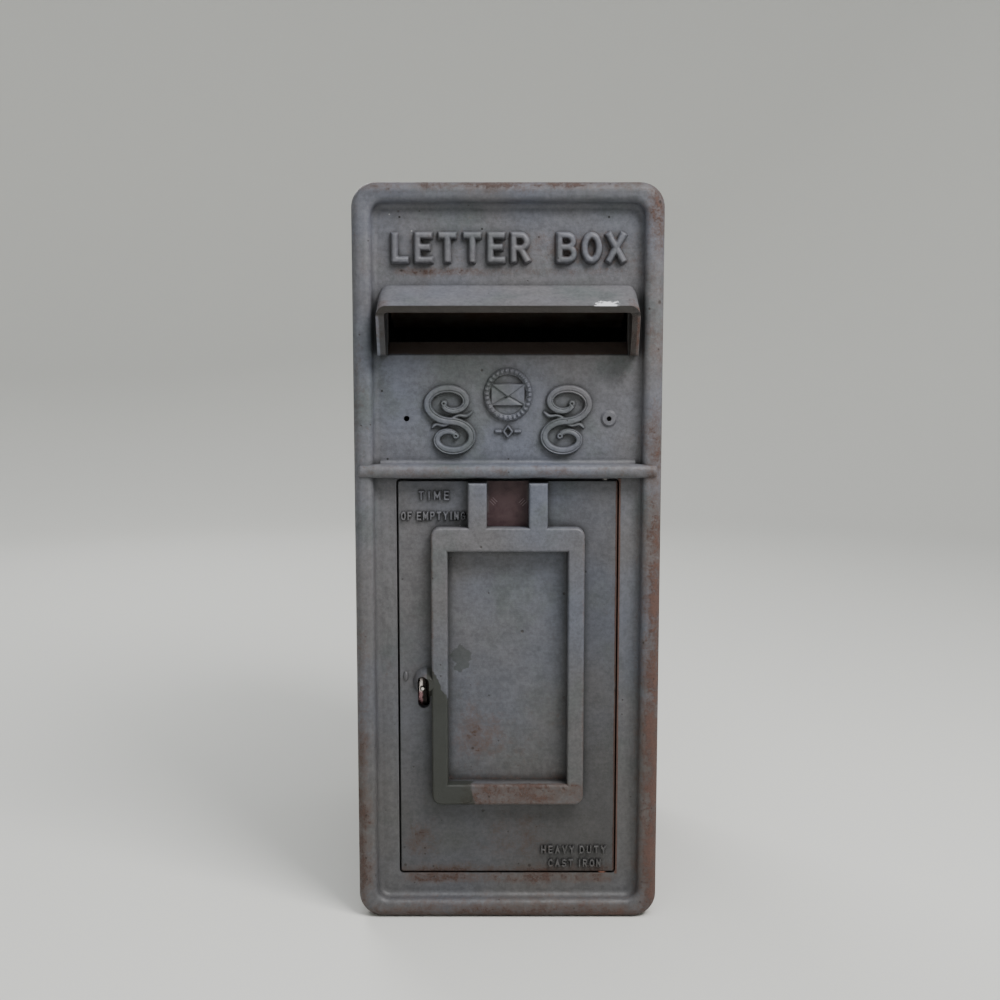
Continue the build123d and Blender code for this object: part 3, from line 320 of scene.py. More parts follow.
class Coat:
    """A procedural finish: a principled shader and short calls for the patterns that finishes share."""

    def __init__(self, name, metallic=0.0, specular=0.5):
        self.material = bpy.data.materials.new(name)
        self.material.use_nodes = True
        self.tree = self.material.node_tree
        self.tree.nodes.clear()
        self.shader = self.node("ShaderNodeBsdfPrincipled")
        self.shader.inputs["Metallic"].default_value = metallic
        self.shader.inputs["Specular IOR Level"].default_value = specular
        out = self.node("ShaderNodeOutputMaterial")
        self.tree.links.new(self.shader.outputs[0], out.inputs[0])
        self.place = self.node("ShaderNodeTexCoord").outputs["Object"]
        split = self.node("ShaderNodeSeparateXYZ")
        self.feed(split.inputs[0], self.place)
        self.x, self.y, self.z = split.outputs

    def node(self, kind, **settings):
        """A new node with these settings."""
        made = self.tree.nodes.new(kind)
        for key, value in settings.items():
            setattr(made, key, value)
        return made

    def feed(self, socket, value):
        """Joins a socket to another socket, or sets it to a plain number or colour."""
        if isinstance(value, bpy.types.NodeSocket):
            self.tree.links.new(value, socket)
        elif isinstance(value, (tuple, list)) and len(value) == 3 and socket.type == "RGBA":
            socket.default_value = (*value, 1)
        else:
            socket.default_value = value

    def maths(self, kind, first, second=0.0, third=0.0):
        """One sum on sockets or numbers."""
        made = self.node("ShaderNodeMath", operation=kind)
        for socket, value in zip(made.inputs, (first, second, third)):
            self.feed(socket, value)
        return made.outputs[0]

    def fold(self, kind, values):
        """One value from several, joined two at a time."""
        result = values[0]
        for value in values[1:]:
            result = self.maths(kind, result, value)
        return result

    def total(self, *values):
        return self.fold("ADD", values)

    def product(self, *values):
        return self.fold("MULTIPLY", values)

    def largest(self, *values):
        return self.fold("MAXIMUM", values)

    def without(self, value):
        """1 less the value."""
        return self.maths("SUBTRACT", 1.0, value)

    def swing(self, pattern, size):
        """A pattern from 0 to 1 made to swing about 0, over size in all."""
        return self.maths("MULTIPLY_ADD", pattern, size, -size / 2)

    def distance(self, point, place):
        """Distance of a point from a fixed place."""
        made = self.node("ShaderNodeVectorMath", operation="DISTANCE")
        self.feed(made.inputs[0], point)
        made.inputs[1].default_value = place
        return made.outputs["Value"]

    def step(self, value, low, high, bottom=0.0, top=1.0):
        """Smooth rise from bottom to top as value goes from low to high."""
        made = self.node("ShaderNodeMapRange", interpolation_type="SMOOTHSTEP")
        for socket, given in zip(made.inputs, (value, low, high, bottom, top)):
            self.feed(socket, given)
        return made.outputs[0]

    def band(self, value, low, high, edge):
        """1 between low and high, falling to 0 over edge on either side."""
        rise = self.step(value, low - edge, low + edge)
        fall = self.step(value, high - edge, high + edge, 1.0, 0.0)
        return self.maths("MULTIPLY", rise, fall)

    def noise(self, size, detail=4.0, roughness=0.55, stretch=(1, 1, 1), shift=0.0, distortion=0.0):
        """Cloudy pattern from 0 to 1 whose features are about size metres, longer where stretched."""
        scaled = self.node("ShaderNodeVectorMath", operation="MULTIPLY_ADD")
        self.feed(scaled.inputs[0], self.place)
        scaled.inputs[1].default_value = tuple(1 / (size * s) for s in stretch)
        scaled.inputs[2].default_value = (shift, shift * 1.7, shift * 0.6)
        made = self.node("ShaderNodeTexNoise")
        self.feed(made.inputs["Vector"], scaled.outputs[0])
        made.inputs["Scale"].default_value = 1.0
        made.inputs["Detail"].default_value = detail
        made.inputs["Roughness"].default_value = roughness
        made.inputs["Distortion"].default_value = distortion
        return made.outputs["Fac"]

    def pits(self, size, share, radius, shift=0.0):
        """Round pinholes about size metres apart, 1 inside a pit, with share of the cells pitted."""
        scaled = self.node("ShaderNodeVectorMath", operation="MULTIPLY_ADD")
        self.feed(scaled.inputs[0], self.place)
        scaled.inputs[1].default_value = (1 / size,) * 3
        scaled.inputs[2].default_value = (shift, shift, shift)
        cells = self.node("ShaderNodeTexVoronoi")
        self.feed(cells.inputs["Vector"], scaled.outputs[0])
        cells.inputs["Scale"].default_value = 1.0
        chosen = self.node("ShaderNodeSeparateColor")
        self.feed(chosen.inputs[0], cells.outputs["Color"])
        inside = self.step(cells.outputs["Distance"], 0.5 * radius / size, radius / size, 1.0, 0.0)
        return self.product(inside, self.maths("LESS_THAN", chosen.outputs[0], share))

    def mix(self, factor, under, over):
        """The colour over laid on the colour under, as thickly as factor says."""
        made = self.node("ShaderNodeMix", data_type="RGBA")
        self.feed(made.inputs["Factor"], factor)
        self.feed(made.inputs[6], under)
        self.feed(made.inputs[7], over)
        return made.outputs[2]

    def shade(self, colour, factor):
        """The colour made lighter or darker by a factor."""
        made = self.node("ShaderNodeVectorMath", operation="SCALE")
        self.feed(made.inputs[0], colour)
        self.feed(made.inputs["Scale"], factor)
        return made.outputs[0]

    def finish(self, colour, roughness, relief=None, height=0.0004):
        """The material, with relief as a bump of this height in metres."""
        self.feed(self.shader.inputs["Base Color"], colour)
        self.feed(self.shader.inputs["Roughness"], roughness)
        if relief is not None:
            bump = self.node("ShaderNodeBump")
            bump.inputs["Distance"].default_value = height
            bump.inputs["Strength"].default_value = 1.0
            self.feed(bump.inputs["Height"], relief)
            self.feed(self.shader.inputs["Normal"], bump.outputs[0])
        return self.material


# Colours, as linear red, green and blue
BLUE_GREY = (0.100, 0.109, 0.140)
WARM_GREY = (0.110, 0.107, 0.114)
GREEN_GREY = (0.076, 0.087, 0.088)
LOW_DARK_TONE = (0.055, 0.052, 0.048)
OLIVE = (0.020, 0.022, 0.017)
# Painted shade for corners and creases
PAINTED_CORNER_SHADE = (0.020, 0.020, 0.020)
PALE_CHIP = (0.34, 0.34, 0.35)
STAIN = (0.095, 0.062, 0.051)
RUST_BROWN = (0.066, 0.037, 0.028)
RUST_RED = (0.104, 0.051, 0.038)
RUST_DARK = (0.024, 0.016, 0.013)
# Painted shade on the hood's lip and legs
PAINTED_HOOD_SHADE = (0.017, 0.014, 0.012)
CHIP_WHITE = (0.68, 0.67, 0.70)
# Painted shade inside the letter aperture
SLOT_PAINTED_SHADE = (0.060, 0.046, 0.040)
PINHOLE_BLACK = (0.01, 0.01, 0.01)
AGED_BRASS = (0.30, 0.20, 0.12)
BRASS_TARNISH = (0.10, 0.06, 0.045)
# Painted shade seen through the keyhole
KEYHOLE_PAINTED_SHADE = (0.012, 0.010, 0.009)
SCORED_ENAMEL = (0.15, 0.11, 0.12)
DARK_BLOT = (0.03, 0.035, 0.03)
PALE_PAPER = (0.70, 0.70, 0.67)


def primer_over_iron(name, rust_where=None, extra=None, brushed_up=0.0):
    """Grey primer brushed thinly over an old casting, with rust where the given function says.

    Brush marks lie across the front above the height brushed_up and upright below it. Rust comes
    as a faint stain first, then as flakes where it is denser. rust_where gives how dense it is and
    how red, and extra changes the colour and the roughness at the end.
    """
    coat = Coat(name, specular=0.45)
    broad = coat.noise(0.15, 3.0, 0.5)
    middle = coat.noise(0.045, 5.0, 0.6, shift=4.0)
    small = coat.noise(0.012, 5.0, 0.62, shift=7.0)
    fine = coat.noise(0.0028, 4.0, 0.65, shift=9.0)
    across = coat.noise(0.0030, 3.0, 0.55, stretch=(7, 4, 1), shift=2.0, distortion=0.5)
    along = coat.noise(0.0030, 3.0, 0.55, stretch=(1, 4, 8), shift=6.0, distortion=0.5)
    above = coat.step(coat.z, brushed_up - 0.004, brushed_up + 0.004)
    strokes = coat.total(coat.product(across, above), coat.product(along, coat.without(above)))
    colour = coat.mix(coat.step(broad, 0.36, 0.62), BLUE_GREY, WARM_GREY)
    colour = coat.mix(coat.step(middle, 0.46, 0.72, 0.0, 0.75), colour, GREEN_GREY)
    # Darker towards the foot: the colour is mixed towards a dark tone lower down
    lowness = coat.step(coat.total(coat.z, coat.swing(middle, 0.1)), 0.40, 0.06)
    colour = coat.mix(coat.product(lowness, 0.62), colour, LOW_DARK_TONE)
    tone = coat.total(
        coat.step(small, 0.3, 0.7, 0.90, 1.10),
        coat.step(strokes, 0.3, 0.7, -0.05, 0.05),
        coat.step(fine, 0.35, 0.65, -0.12, 0.12),
    )
    colour = coat.shade(colour, tone)
    chips = coat.pits(0.019, 0.07, 0.0008, shift=8.1)
    colour = coat.mix(coat.product(chips, 0.8), colour, PALE_CHIP)
    holes = coat.largest(coat.pits(0.008, 0.10, 0.0009), coat.pits(0.017, 0.12, 0.0016, shift=3.3))
    colour = coat.mix(coat.product(holes, 0.65), colour, RUST_DARK)
    # Painted shade: the colour is darkened towards black in corners, creases and at the feet of relief, where
    # ambient occlusion finds them
    corner_occlusion = coat.node("ShaderNodeAmbientOcclusion", samples=6)
    corner_occlusion.inputs["Distance"].default_value = 0.007
    corner = coat.step(corner_occlusion.outputs["AO"], 0.95, 0.50)
    colour = coat.mix(coat.product(corner, 0.78), colour, PAINTED_CORNER_SHADE)
    roughness = coat.step(middle, 0.3, 0.7, 0.44, 0.60)
    lumps = coat.noise(0.007, 3.0, 0.5, shift=12.0)
    waves = coat.noise(0.028, 2.0, 0.5, shift=14.0)
    relief = coat.total(
        coat.product(strokes, 0.14),
        coat.product(lumps, 0.75),
        coat.product(fine, 0.30),
        coat.product(waves, 1.6),
    )
    relief = coat.maths("SUBTRACT", relief, coat.product(holes, 0.7))
    if rust_where is not None:
        where, redness = rust_where(coat)
        flakes = coat.noise(0.0075, 8.0, 0.74, shift=21.0, distortion=0.5)
        clouds = coat.noise(0.036, 5.0, 0.62, shift=25.0)
        grain = coat.noise(0.0016, 5.0, 0.75, shift=31.0)
        level = coat.total(where, coat.maths("MULTIPLY_ADD", clouds, 1.1, -0.62))
        speckled = coat.total(level, coat.swing(flakes, 1.5), coat.swing(grain, 1.2))
        stain = coat.step(speckled, 0.10, 0.85, 0.0, 0.8)
        thick = coat.step(speckled, 0.62, 0.82)
        colour = coat.mix(stain, colour, coat.mix(coat.step(grain, 0.3, 0.7), RUST_BROWN, STAIN))
        rust = coat.mix(redness, RUST_BROWN, RUST_RED)
        rust = coat.mix(coat.step(grain, 0.42, 0.72, 0.0, 0.75), rust, RUST_DARK)
        colour = coat.mix(coat.product(thick, 0.85), colour, rust)
        small_spots = coat.pits(0.008, 0.3, 0.0012, shift=17.0)
        large_spots = coat.pits(0.015, 0.25, 0.0019, shift=19.0)
        near_rust = coat.step(coat.total(where, coat.product(clouds, 0.6)), 0.42, 0.62)
        spots = coat.product(coat.largest(small_spots, large_spots), near_rust)
        colour = coat.mix(coat.product(spots, 0.8), colour, RUST_DARK)
        roughness = coat.total(roughness, coat.product(stain, 0.25))
        relief = coat.total(relief, coat.product(thick, coat.maths("MULTIPLY_ADD", grain, 0.9, -0.2)))
    if extra is not None:
        colour, roughness = extra(coat, colour, roughness)
    return coat.finish(colour, roughness, relief, 0.0006)


def camera_and_light():
    """Camera in front, above the middle and tipped down, and soft light from the upper right."""
    aside, distance, height, tip = -0.0064, 1.067, 0.479, 6.56
    camera = linked("camera", bpy.data.cameras.new("camera"))
    camera.data.lens = 46.8
    camera.data.sensor_width = 36
    camera.location = (aside, FACE - distance, height)
    camera.rotation_euler = (math.radians(90 - tip), 0, 0)
    bpy.context.scene.camera = camera
    sky = bpy.data.worlds.new("studio")
    sky.use_nodes = True
    background = sky.node_tree.nodes["Background"]
    background.inputs["Color"].default_value = (0.94, 0.97, 1.0, 1)
    background.inputs["Strength"].default_value = 0.5
    bpy.context.scene.world = sky
    for name, where, aim, size, power, tint in (
        ("key", (0.85, -1.05, 1.75), (0, 0, 0.48), 0.8, 42, (1.0, 0.985, 0.97)),
        ("top", (0.1, -0.9, 2.1), (0, 0, 0.55), 1.0, 13, (0.95, 0.975, 1.0)),
        ("back", (-0.9, 1.9, 1.9), (0, 0, 0.3), 1.0, 30, (1.0, 1.0, 1.0)),
    ):
        lamp = linked(name, bpy.data.lights.new(name, "AREA"))
        lamp.data.size = size
        lamp.data.energy = power
        lamp.data.color = tint
        lamp.location = where
        lamp.rotation_euler = (Vector(aim) - Vector(where)).to_track_quat("-Z", "Y").to_euler()


def studio_bowl():
    """Plain pale floor that curves up into a round wall, open at the top: a profile turned about Z.

    The profile is level out to the bend, turns through a quarter circle and then rises straight.
    """
    reach, bend, rim = 2.4, 1.1, 3.4
    turn = np.linspace(0, np.pi / 2, 13)
    radius = np.r_[0.0, 0.6, 1.4, reach + bend * np.sin(turn), reach + bend]
    height = np.r_[0.0, 0.0, 0.0, bend * (1 - np.cos(turn)), rim]
    around = np.linspace(0, 2 * np.pi, 97)[:-1]
    x = radius[1:, None] * np.cos(around)
    y = radius[1:, None] * np.sin(around)
    z = height[1:, None] + 0 * around
    vertices = np.vstack([[[0, 0, 0]], np.stack([x, y, z], -1).reshape(-1, 3)])
    rows, ring = len(radius) - 1, len(around)
    i, j = np.meshgrid(np.arange(rows - 1), np.arange(ring), indexing="ij")
    k = (j + 1) % ring
    inner, outer = 1 + i * ring, 1 + (i + 1) * ring
    faces = np.stack([outer + j, outer + k, inner + k, inner + j], -1).reshape(-1, 4)
    middle = [[0, 1 + n, 1 + (n + 1) % ring] for n in range(ring)]
    mesh = bpy.data.meshes.new("studio_bowl")
    mesh.from_pydata(vertices.tolist(), [], middle + faces.tolist())
    mesh.shade_smooth()
    bowl = linked("studio_bowl", mesh)
    coat = Coat("pale_paper", specular=0.2)
    mesh.materials.append(coat.finish(PALE_PAPER, 0.85))


def front_rust(coat):
    """Where the front casting rusts, and how red.

    The rims, the foot and the top, round the door, under and among the header's letters, the hood's
    ends and right leg, the ledge's nose and the slot's sill.
    """
    out = coat.maths("ABSOLUTE", coat.x)
    right_rim = coat.step(coat.x, HALF_WIDTH - 0.028, HALF_WIDTH - 0.003)
    right_low = coat.product(right_rim, coat.step(coat.z, 0.46, 0.30, 0.46, 0.84))
    right_top = coat.product(right_rim, coat.step(coat.z, 0.52, 0.60, 0.3, 0.82))
    left_rim = coat.step(coat.x, -HALF_WIDTH + 0.020, -HALF_WIDTH + 0.002)
    left_low = coat.product(left_rim, coat.step(coat.z, 0.36, 0.12, 0.22, 0.62))
    bottom = coat.step(coat.z, 0.022, 0.004, 0.0, 0.62)
    top = coat.product(coat.step(coat.z, TOP - 0.013, TOP - 0.003), 0.66)
    door_side = coat.product(coat.band(coat.x, DOOR_HALF + 0.0004, DOOR_HALF + 0.0026, 0.0006), 1.25)
    door_side = coat.product(door_side, coat.band(coat.z, DOOR_BOTTOM - 0.002, DOOR_TOP + 0.002, 0.001))
    door_foot = coat.product(coat.band(coat.z, DOOR_BOTTOM - 0.010, DOOR_BOTTOM, 0.003), 0.55)
    door_foot = coat.product(door_foot, coat.step(out, DOOR_HALF + 0.006, DOOR_HALF - 0.01))
    near_face = coat.step(coat.y, FACE - 0.007, FACE - 0.0002)
    under_words = coat.product(coat.band(coat.z, HEADER_BASE - 0.009, HEADER_BASE - 0.002, 0.003), near_face)
    under_words = coat.product(under_words, coat.step(coat.x, 0.02, -0.05, 0.38, 0.68))
    under_words = coat.product(under_words, coat.step(coat.x, -0.096, -0.088))
    in_words = coat.product(coat.band(coat.z, HEADER_BASE, HEADER_BASE + HEADER_CAP, 0.004), near_face)
    in_words = coat.product(in_words, coat.step(coat.x, -0.01, 0.05, 0.15, 0.42))
    hood_end = coat.step(out, 0.085, 0.101, 0.0, 0.55)
    hood_end = coat.product(hood_end, coat.step(coat.y, FACE - 0.012, FACE - 0.030))
    right_leg = coat.product(coat.band(coat.x, 0.097, 0.105, 0.002), coat.band(coat.z, 0.47, 0.515, 0.004))
    right_leg = coat.product(right_leg, coat.step(coat.y, FACE - 0.004, FACE - 0.008, 0.0, 0.7))
    nose = coat.step(coat.y, FACE - 0.009, FACE - 0.0135)
    nose = coat.product(nose, coat.band(coat.z, LEDGE_BOTTOM, LEDGE_TOP, 0.001), 0.36)
    sill = coat.band(coat.z, SILL_BOTTOM, SILL_TOP, 0.003)
    sill = coat.product(sill, coat.step(coat.y, FACE, FACE + 0.003))
    where = coat.largest(
        right_low, right_top, left_low, bottom, top, door_side, door_foot,
        under_words, in_words, hood_end, right_leg, nose, sill,
    )
    where = coat.total(where, coat.product(coat.step(coat.z, 0.2, 0.0), 0.12))
    return where, coat.step(coat.x, -0.02, 0.12, 0.2, 0.9)


# Single pinholes on the front, as x and z
PINHOLES = ((0.0815, 0.5859), (-0.0875, 0.5859), (-0.0209, 0.5764), (-0.1030, 0.4461), (-0.0989, 0.3903))


def front_marks(coat, colour, roughness):
    """Darker rim top, painted shade on the hood's lip, on the hood legs and inside the aperture, the white
    chip above the lip and pinholes.
    """
    colour = coat.shade(colour, coat.step(coat.z, TOP - 0.018, TOP - 0.008, 1.0, 0.80))
    wobble = coat.swing(coat.noise(0.0045, 5.0, 0.7, shift=82.0), 0.016)
    # Painted shade: the front of the hood's lip is painted nearly black
    lip = coat.step(coat.y, LIP_Y + 0.0016, LIP_Y + 0.0006)
    colour = coat.mix(lip, colour, PAINTED_HOOD_SHADE)
    out = coat.maths("ABSOLUTE", coat.x)
    # Painted shade: the fronts of the hood legs, under the hood's overhang, are painted nearly black
    leg = coat.band(out, LEG_INNER, LEG_OUTER, 0.0007)
    leg = coat.product(leg, coat.band(coat.z, LEG_BOTTOM, LEG_TOP, 0.002))
    leg = coat.product(leg, coat.step(coat.y, FACE - 0.003, FACE - 0.006))
    colour = coat.mix(coat.product(leg, 0.8), colour, PAINTED_HOOD_SHADE)
    # Painted shade: the surfaces set back behind the face at the aperture's height are painted dark brown
    inside = coat.step(coat.y, FACE - 0.001, FACE + 0.004)
    inside = coat.product(inside, coat.band(coat.z, SLOT_BOTTOM, SLOT_TOP, 0.002))
    colour = coat.mix(coat.product(inside, 0.8), colour, SLOT_PAINTED_SHADE)
    chip = coat.band(coat.total(coat.x, wobble), 0.0700, 0.0850, 0.0006)
    near_lip = coat.step(coat.total(coat.y, wobble), FACE - 0.0275, FACE - 0.0290)
    above_lip = coat.step(coat.y, LIP_Y + 0.0002, LIP_Y + 0.0007)
    over_foot = coat.step(coat.z, LIP_BOTTOM, LIP_BOTTOM + 0.001)
    colour = coat.mix(coat.product(chip, near_lip, above_lip, over_foot), colour, CHIP_WHITE)
    flat = coat.node("ShaderNodeCombineXYZ")
    coat.feed(flat.inputs[0], coat.x)
    coat.feed(flat.inputs[2], coat.z)
    on_front = coat.step(coat.y, FACE + 0.004, FACE + 0.001)
    for x, z in PINHOLES:
        hole = coat.step(coat.distance(flat.outputs[0], (x, 0, z)), 0.0006, 0.0012, 1.0, 0.0)
        colour = coat.mix(coat.product(hole, on_front), colour, PINHOLE_BLACK)
    return colour, roughness


def door_rust(coat):
    """Where the door rusts: its right and lower edges, the frame's bottom bar and the lower panel."""
    right = coat.product(coat.step(coat.x, DOOR_HALF - 0.0025, DOOR_HALF - 0.0005), 1.1)
    foot = coat.product(coat.step(coat.z, DOOR_BOTTOM + 0.013, DOOR_BOTTOM), 0.74)
    proud = coat.step(coat.y, FACE - 0.006, FACE - 0.009)
    bar = coat.product(coat.band(coat.z, FRAME_BOTTOM - 0.002, FRAME_BOTTOM + 0.019, 0.002), proud)
    bar = coat.product(bar, coat.step(coat.x, -0.043, -0.036, 0.0, 0.66))
    below = coat.product(coat.band(coat.z, DOOR_BOTTOM + 0.01, FRAME_BOTTOM - 0.01, 0.012), 0.52)
    below = coat.product(below, coat.band(coat.x, -0.02, 0.03, 0.02))
    left_low = coat.product(coat.band(coat.x, -0.085, -0.06, 0.01), coat.band(coat.z, 0.05, 0.08, 0.01))
    out = coat.maths("ABSOLUTE", coat.x)
    sides = coat.product(coat.step(out, FRAME_HALF - 0.004, FRAME_HALF), proud, 0.42)
    where = coat.largest(right, foot, bar, below, coat.product(left_low, 0.52), sides)
    return where, coat.step(coat.x, -0.04, 0.06, 0.3, 0.8)


def door_patches_and_flat_shade(coat, colour, roughness):
    """Olive primer with a hard edge on the notice frame's lower left, and painted shade on the door flat.

    The painted shade deepens towards the flat's right and towards its foot.
    """
    wobble = coat.swing(coat.noise(0.016, 4.0, shift=83.0), 0.036)
    proud = coat.step(coat.y, FACE - 0.0005, FACE - 0.002)
    slant = coat.total(coat.maths("MULTIPLY_ADD", coat.x, 2.0, 0.312), wobble)
    under = coat.step(coat.total(coat.z, slant), 0.4035, 0.4010)
    side = coat.product(coat.band(coat.x, -FRAME_HALF - 0.004, -FRAME_HALF + 0.0142, 0.0006), under)
    reach = coat.total(coat.x, coat.product(wobble, 0.6))
    reach = coat.band(reach, -FRAME_HALF - 0.004, -0.0290, 0.0010)
    corner = coat.product(reach, coat.step(coat.z, 0.1195, 0.1170))
    patch = coat.product(coat.largest(side, corner), proud)
    colour = coat.mix(coat.product(patch, 0.9), colour, OLIVE)
    # Painted shade: the door flat, set back behind the notice frame, is darkened towards its right and its
    # foot
    flat = coat.step(coat.y, FACE - 0.004, FACE - 0.001)
    painted_flat_shade = coat.total(coat.step(coat.x, -0.03, 0.06, 0.10, 0.24), coat.step(coat.z, 0.22, 0.08, 0.0, 0.16))
    colour = coat.shade(colour, coat.without(coat.product(flat, painted_flat_shade)))
    return colour, roughness


def body_rust(coat):
    """Rust on the body: the foot, the corners, runs down its sides and a few broad patches."""
    out = coat.maths("ABSOLUTE", coat.x)
    edges = coat.product(coat.step(out, body_high.x - 0.012, body_high.x - 0.002), 0.30)
    foot = coat.step(coat.z, 0.06, 0.0, 0.0, 0.75)
    back = coat.product(coat.step(coat.y, body_high.y - 0.01, body_high.y), 0.26)
    patches = coat.step(coat.noise(0.15, 3.0, 0.5, shift=47.0), 0.50, 0.68, 0.0, 0.46)
    runs = coat.step(coat.noise(0.013, 3.0, 0.5, stretch=(1, 1, 14), shift=44.0), 0.56, 0.74, 0.0, 0.40)
    where = coat.total(coat.largest(edges, foot, back, patches, runs), 0.06)
    return where, 0.3


def plate_spots(coat, colour, roughness):
    """One dark blot, left of the middle of the blank notice plate."""
    middle = coat.distance(coat.place, (-0.0375, plate_low.y, 0.222))
    wobble = coat.swing(coat.noise(0.012, 4.0, shift=51.0), 0.026)
    blot = coat.step(coat.total(middle, wobble), 0.0085, 0.0095, 0.6, 0.0)
    colour = coat.mix(blot, colour, DARK_BLOT)
    return colour, roughness


def plate_rust(coat):
    """Rust specks on the lower half of the notice plate."""
    specks = coat.band(coat.z, 0.130, 0.185, 0.02)
    specks = coat.product(specks, coat.band(coat.x, -0.046, 0.002, 0.02), 0.40)
    foot = coat.product(coat.step(coat.z, 0.128, 0.114), 0.62)
    return coat.largest(specks, foot, coat.step(coat.z, 0.26, 0.12, 0.0, 0.22)), 0.35


def sheet_coat(name, tint, tarnish, metallic=0.8, roughness=0.45, grain=0.0012):
    """Plain metal with a fine grain and blotchy tarnish."""
    coat = Coat(name, metallic=metallic)
    cloud = coat.noise(0.022, 4.0, 0.5, shift=61.0)
    fine = coat.noise(grain, 3.0, 0.6, shift=63.0)
    colour = coat.mix(coat.step(cloud, 0.28, 0.74, 0.1, 0.8), tint, tarnish)
    colour = coat.shade(colour, coat.step(fine, 0.3, 0.7, 0.9, 1.08))
    rough = coat.step(cloud, 0.3, 0.7, roughness - 0.08, roughness + 0.18)
    return coat.finish(colour, rough, fine, TARNISH_BUMP)


def cover_coat():
    """Bronze painted nearly black as shade but for a lit strip down the cover's left side, pale as a painted
    highlight at its top and pinkish bronze below.
    """
    coat = Coat("bronze_with_painted_light", metallic=1.0)
    cloud = coat.noise(0.004, 4.0, 0.6, shift=67.0)
    # Painted light and shade: all of the cover but a strip down its left side is painted nearly black as
    # shade
    lit_strip = coat.step(coat.total(coat.x, coat.swing(cloud, 0.002)), -0.0712, -0.0730)
    lit_strip = coat.product(lit_strip, coat.step(coat.z, 0.2045, 0.1990))
    # Within the lit strip: a pale painted highlight at its top, pinkish bronze below
    tint = coat.mix(coat.step(coat.z, 0.190, 0.195), (0.26, 0.15, 0.16), (0.62, 0.56, 0.54))
    colour = coat.mix(lit_strip, (0.020, 0.017, 0.016), tint)
    return coat.finish(colour, coat.step(cloud, 0.3, 0.7, 0.16, 0.34), cloud, TARNISH_BUMP)


def lock_coat():
    """Aged brass, painted nearly black as shade on the side that meets the door's keyhole."""
    coat = Coat("brass_with_painted_shade", metallic=1.0)
    cloud = coat.noise(0.022, 4.0, 0.5, shift=61.0)
    colour = coat.mix(coat.step(cloud, 0.28, 0.74, 0.1, 0.8), AGED_BRASS, BRASS_TARNISH)
    # Painted shade: the lock's face behind the keyhole is painted nearly black, so that the keyhole reads
    # dark
    keyhole_shade = coat.step(coat.y, lock_low.y + 0.006, lock_low.y + 0.003)
    colour = coat.mix(keyhole_shade, colour, KEYHOLE_PAINTED_SHADE)
    return coat.finish(colour, coat.step(cloud, 0.3, 0.7, 0.24, 0.48), cloud, TARNISH_BUMP)


def felt_coat():
    """Pressed felt: matted fibres with a little sheen."""
    coat = Coat("pressed_felt", specular=0.1)
    coat.shader.inputs["Sheen Weight"].default_value = 0.3
    fibres = coat.noise(0.0006, 6.0, 0.75)
    return coat.finish(coat.mix(fibres, (0.035, 0.04, 0.035), (0.08, 0.085, 0.075)), 0.95, fibres, 0.0003)


def enamel_coat():
    """Dark maroon enamel with grey primer brushed over its edges, scored left and right of the middle.

    Each scored patch is a slanting rectangle of fine parallel lines, the two leaning towards each other.
    """
    coat = Coat("dark_enamel", specular=0.4)
    cloud = coat.noise(0.010, 6.0, 0.65, shift=71.0)
    colour = coat.mix(coat.step(cloud, 0.35, 0.65), (0.033, 0.014, 0.018), (0.056, 0.031, 0.034))
    for side in (-1, 1):
        over = coat.maths("SUBTRACT", coat.x, side * 12.2 * MM)
        up = coat.maths("SUBTRACT", coat.z, (tablet_low.z + tablet_high.z) / 2 + 1.5 * MM)
        slant = coat.product(coat.total(over, coat.product(up, side)), 0.707)
        length = coat.product(coat.maths("SUBTRACT", over, coat.product(up, side)), 0.707)
        scores = coat.step(coat.maths("SINE", coat.product(length, 2 * math.pi / (1.9 * MM))), 0.5, 0.9)
        scores = coat.product(scores, coat.band(length, -2.9 * MM, 2.9 * MM, 0.2 * MM))
        scores = coat.product(scores, coat.band(slant, -2.6 * MM, 2.6 * MM, 0.4 * MM), 0.8)
        colour = coat.mix(scores, colour, SCORED_ENAMEL)
    rim = coat.step(coat.maths("ABSOLUTE", coat.x), 14.5 * MM, 17.8 * MM)
    colour = coat.mix(coat.product(rim, coat.step(cloud, 0.4, 0.6), 0.7), colour, GREEN_GREY)
    return coat.finish(colour, coat.step(cloud, 0.3, 0.7, 0.35, 0.6), cloud, 0.0002)


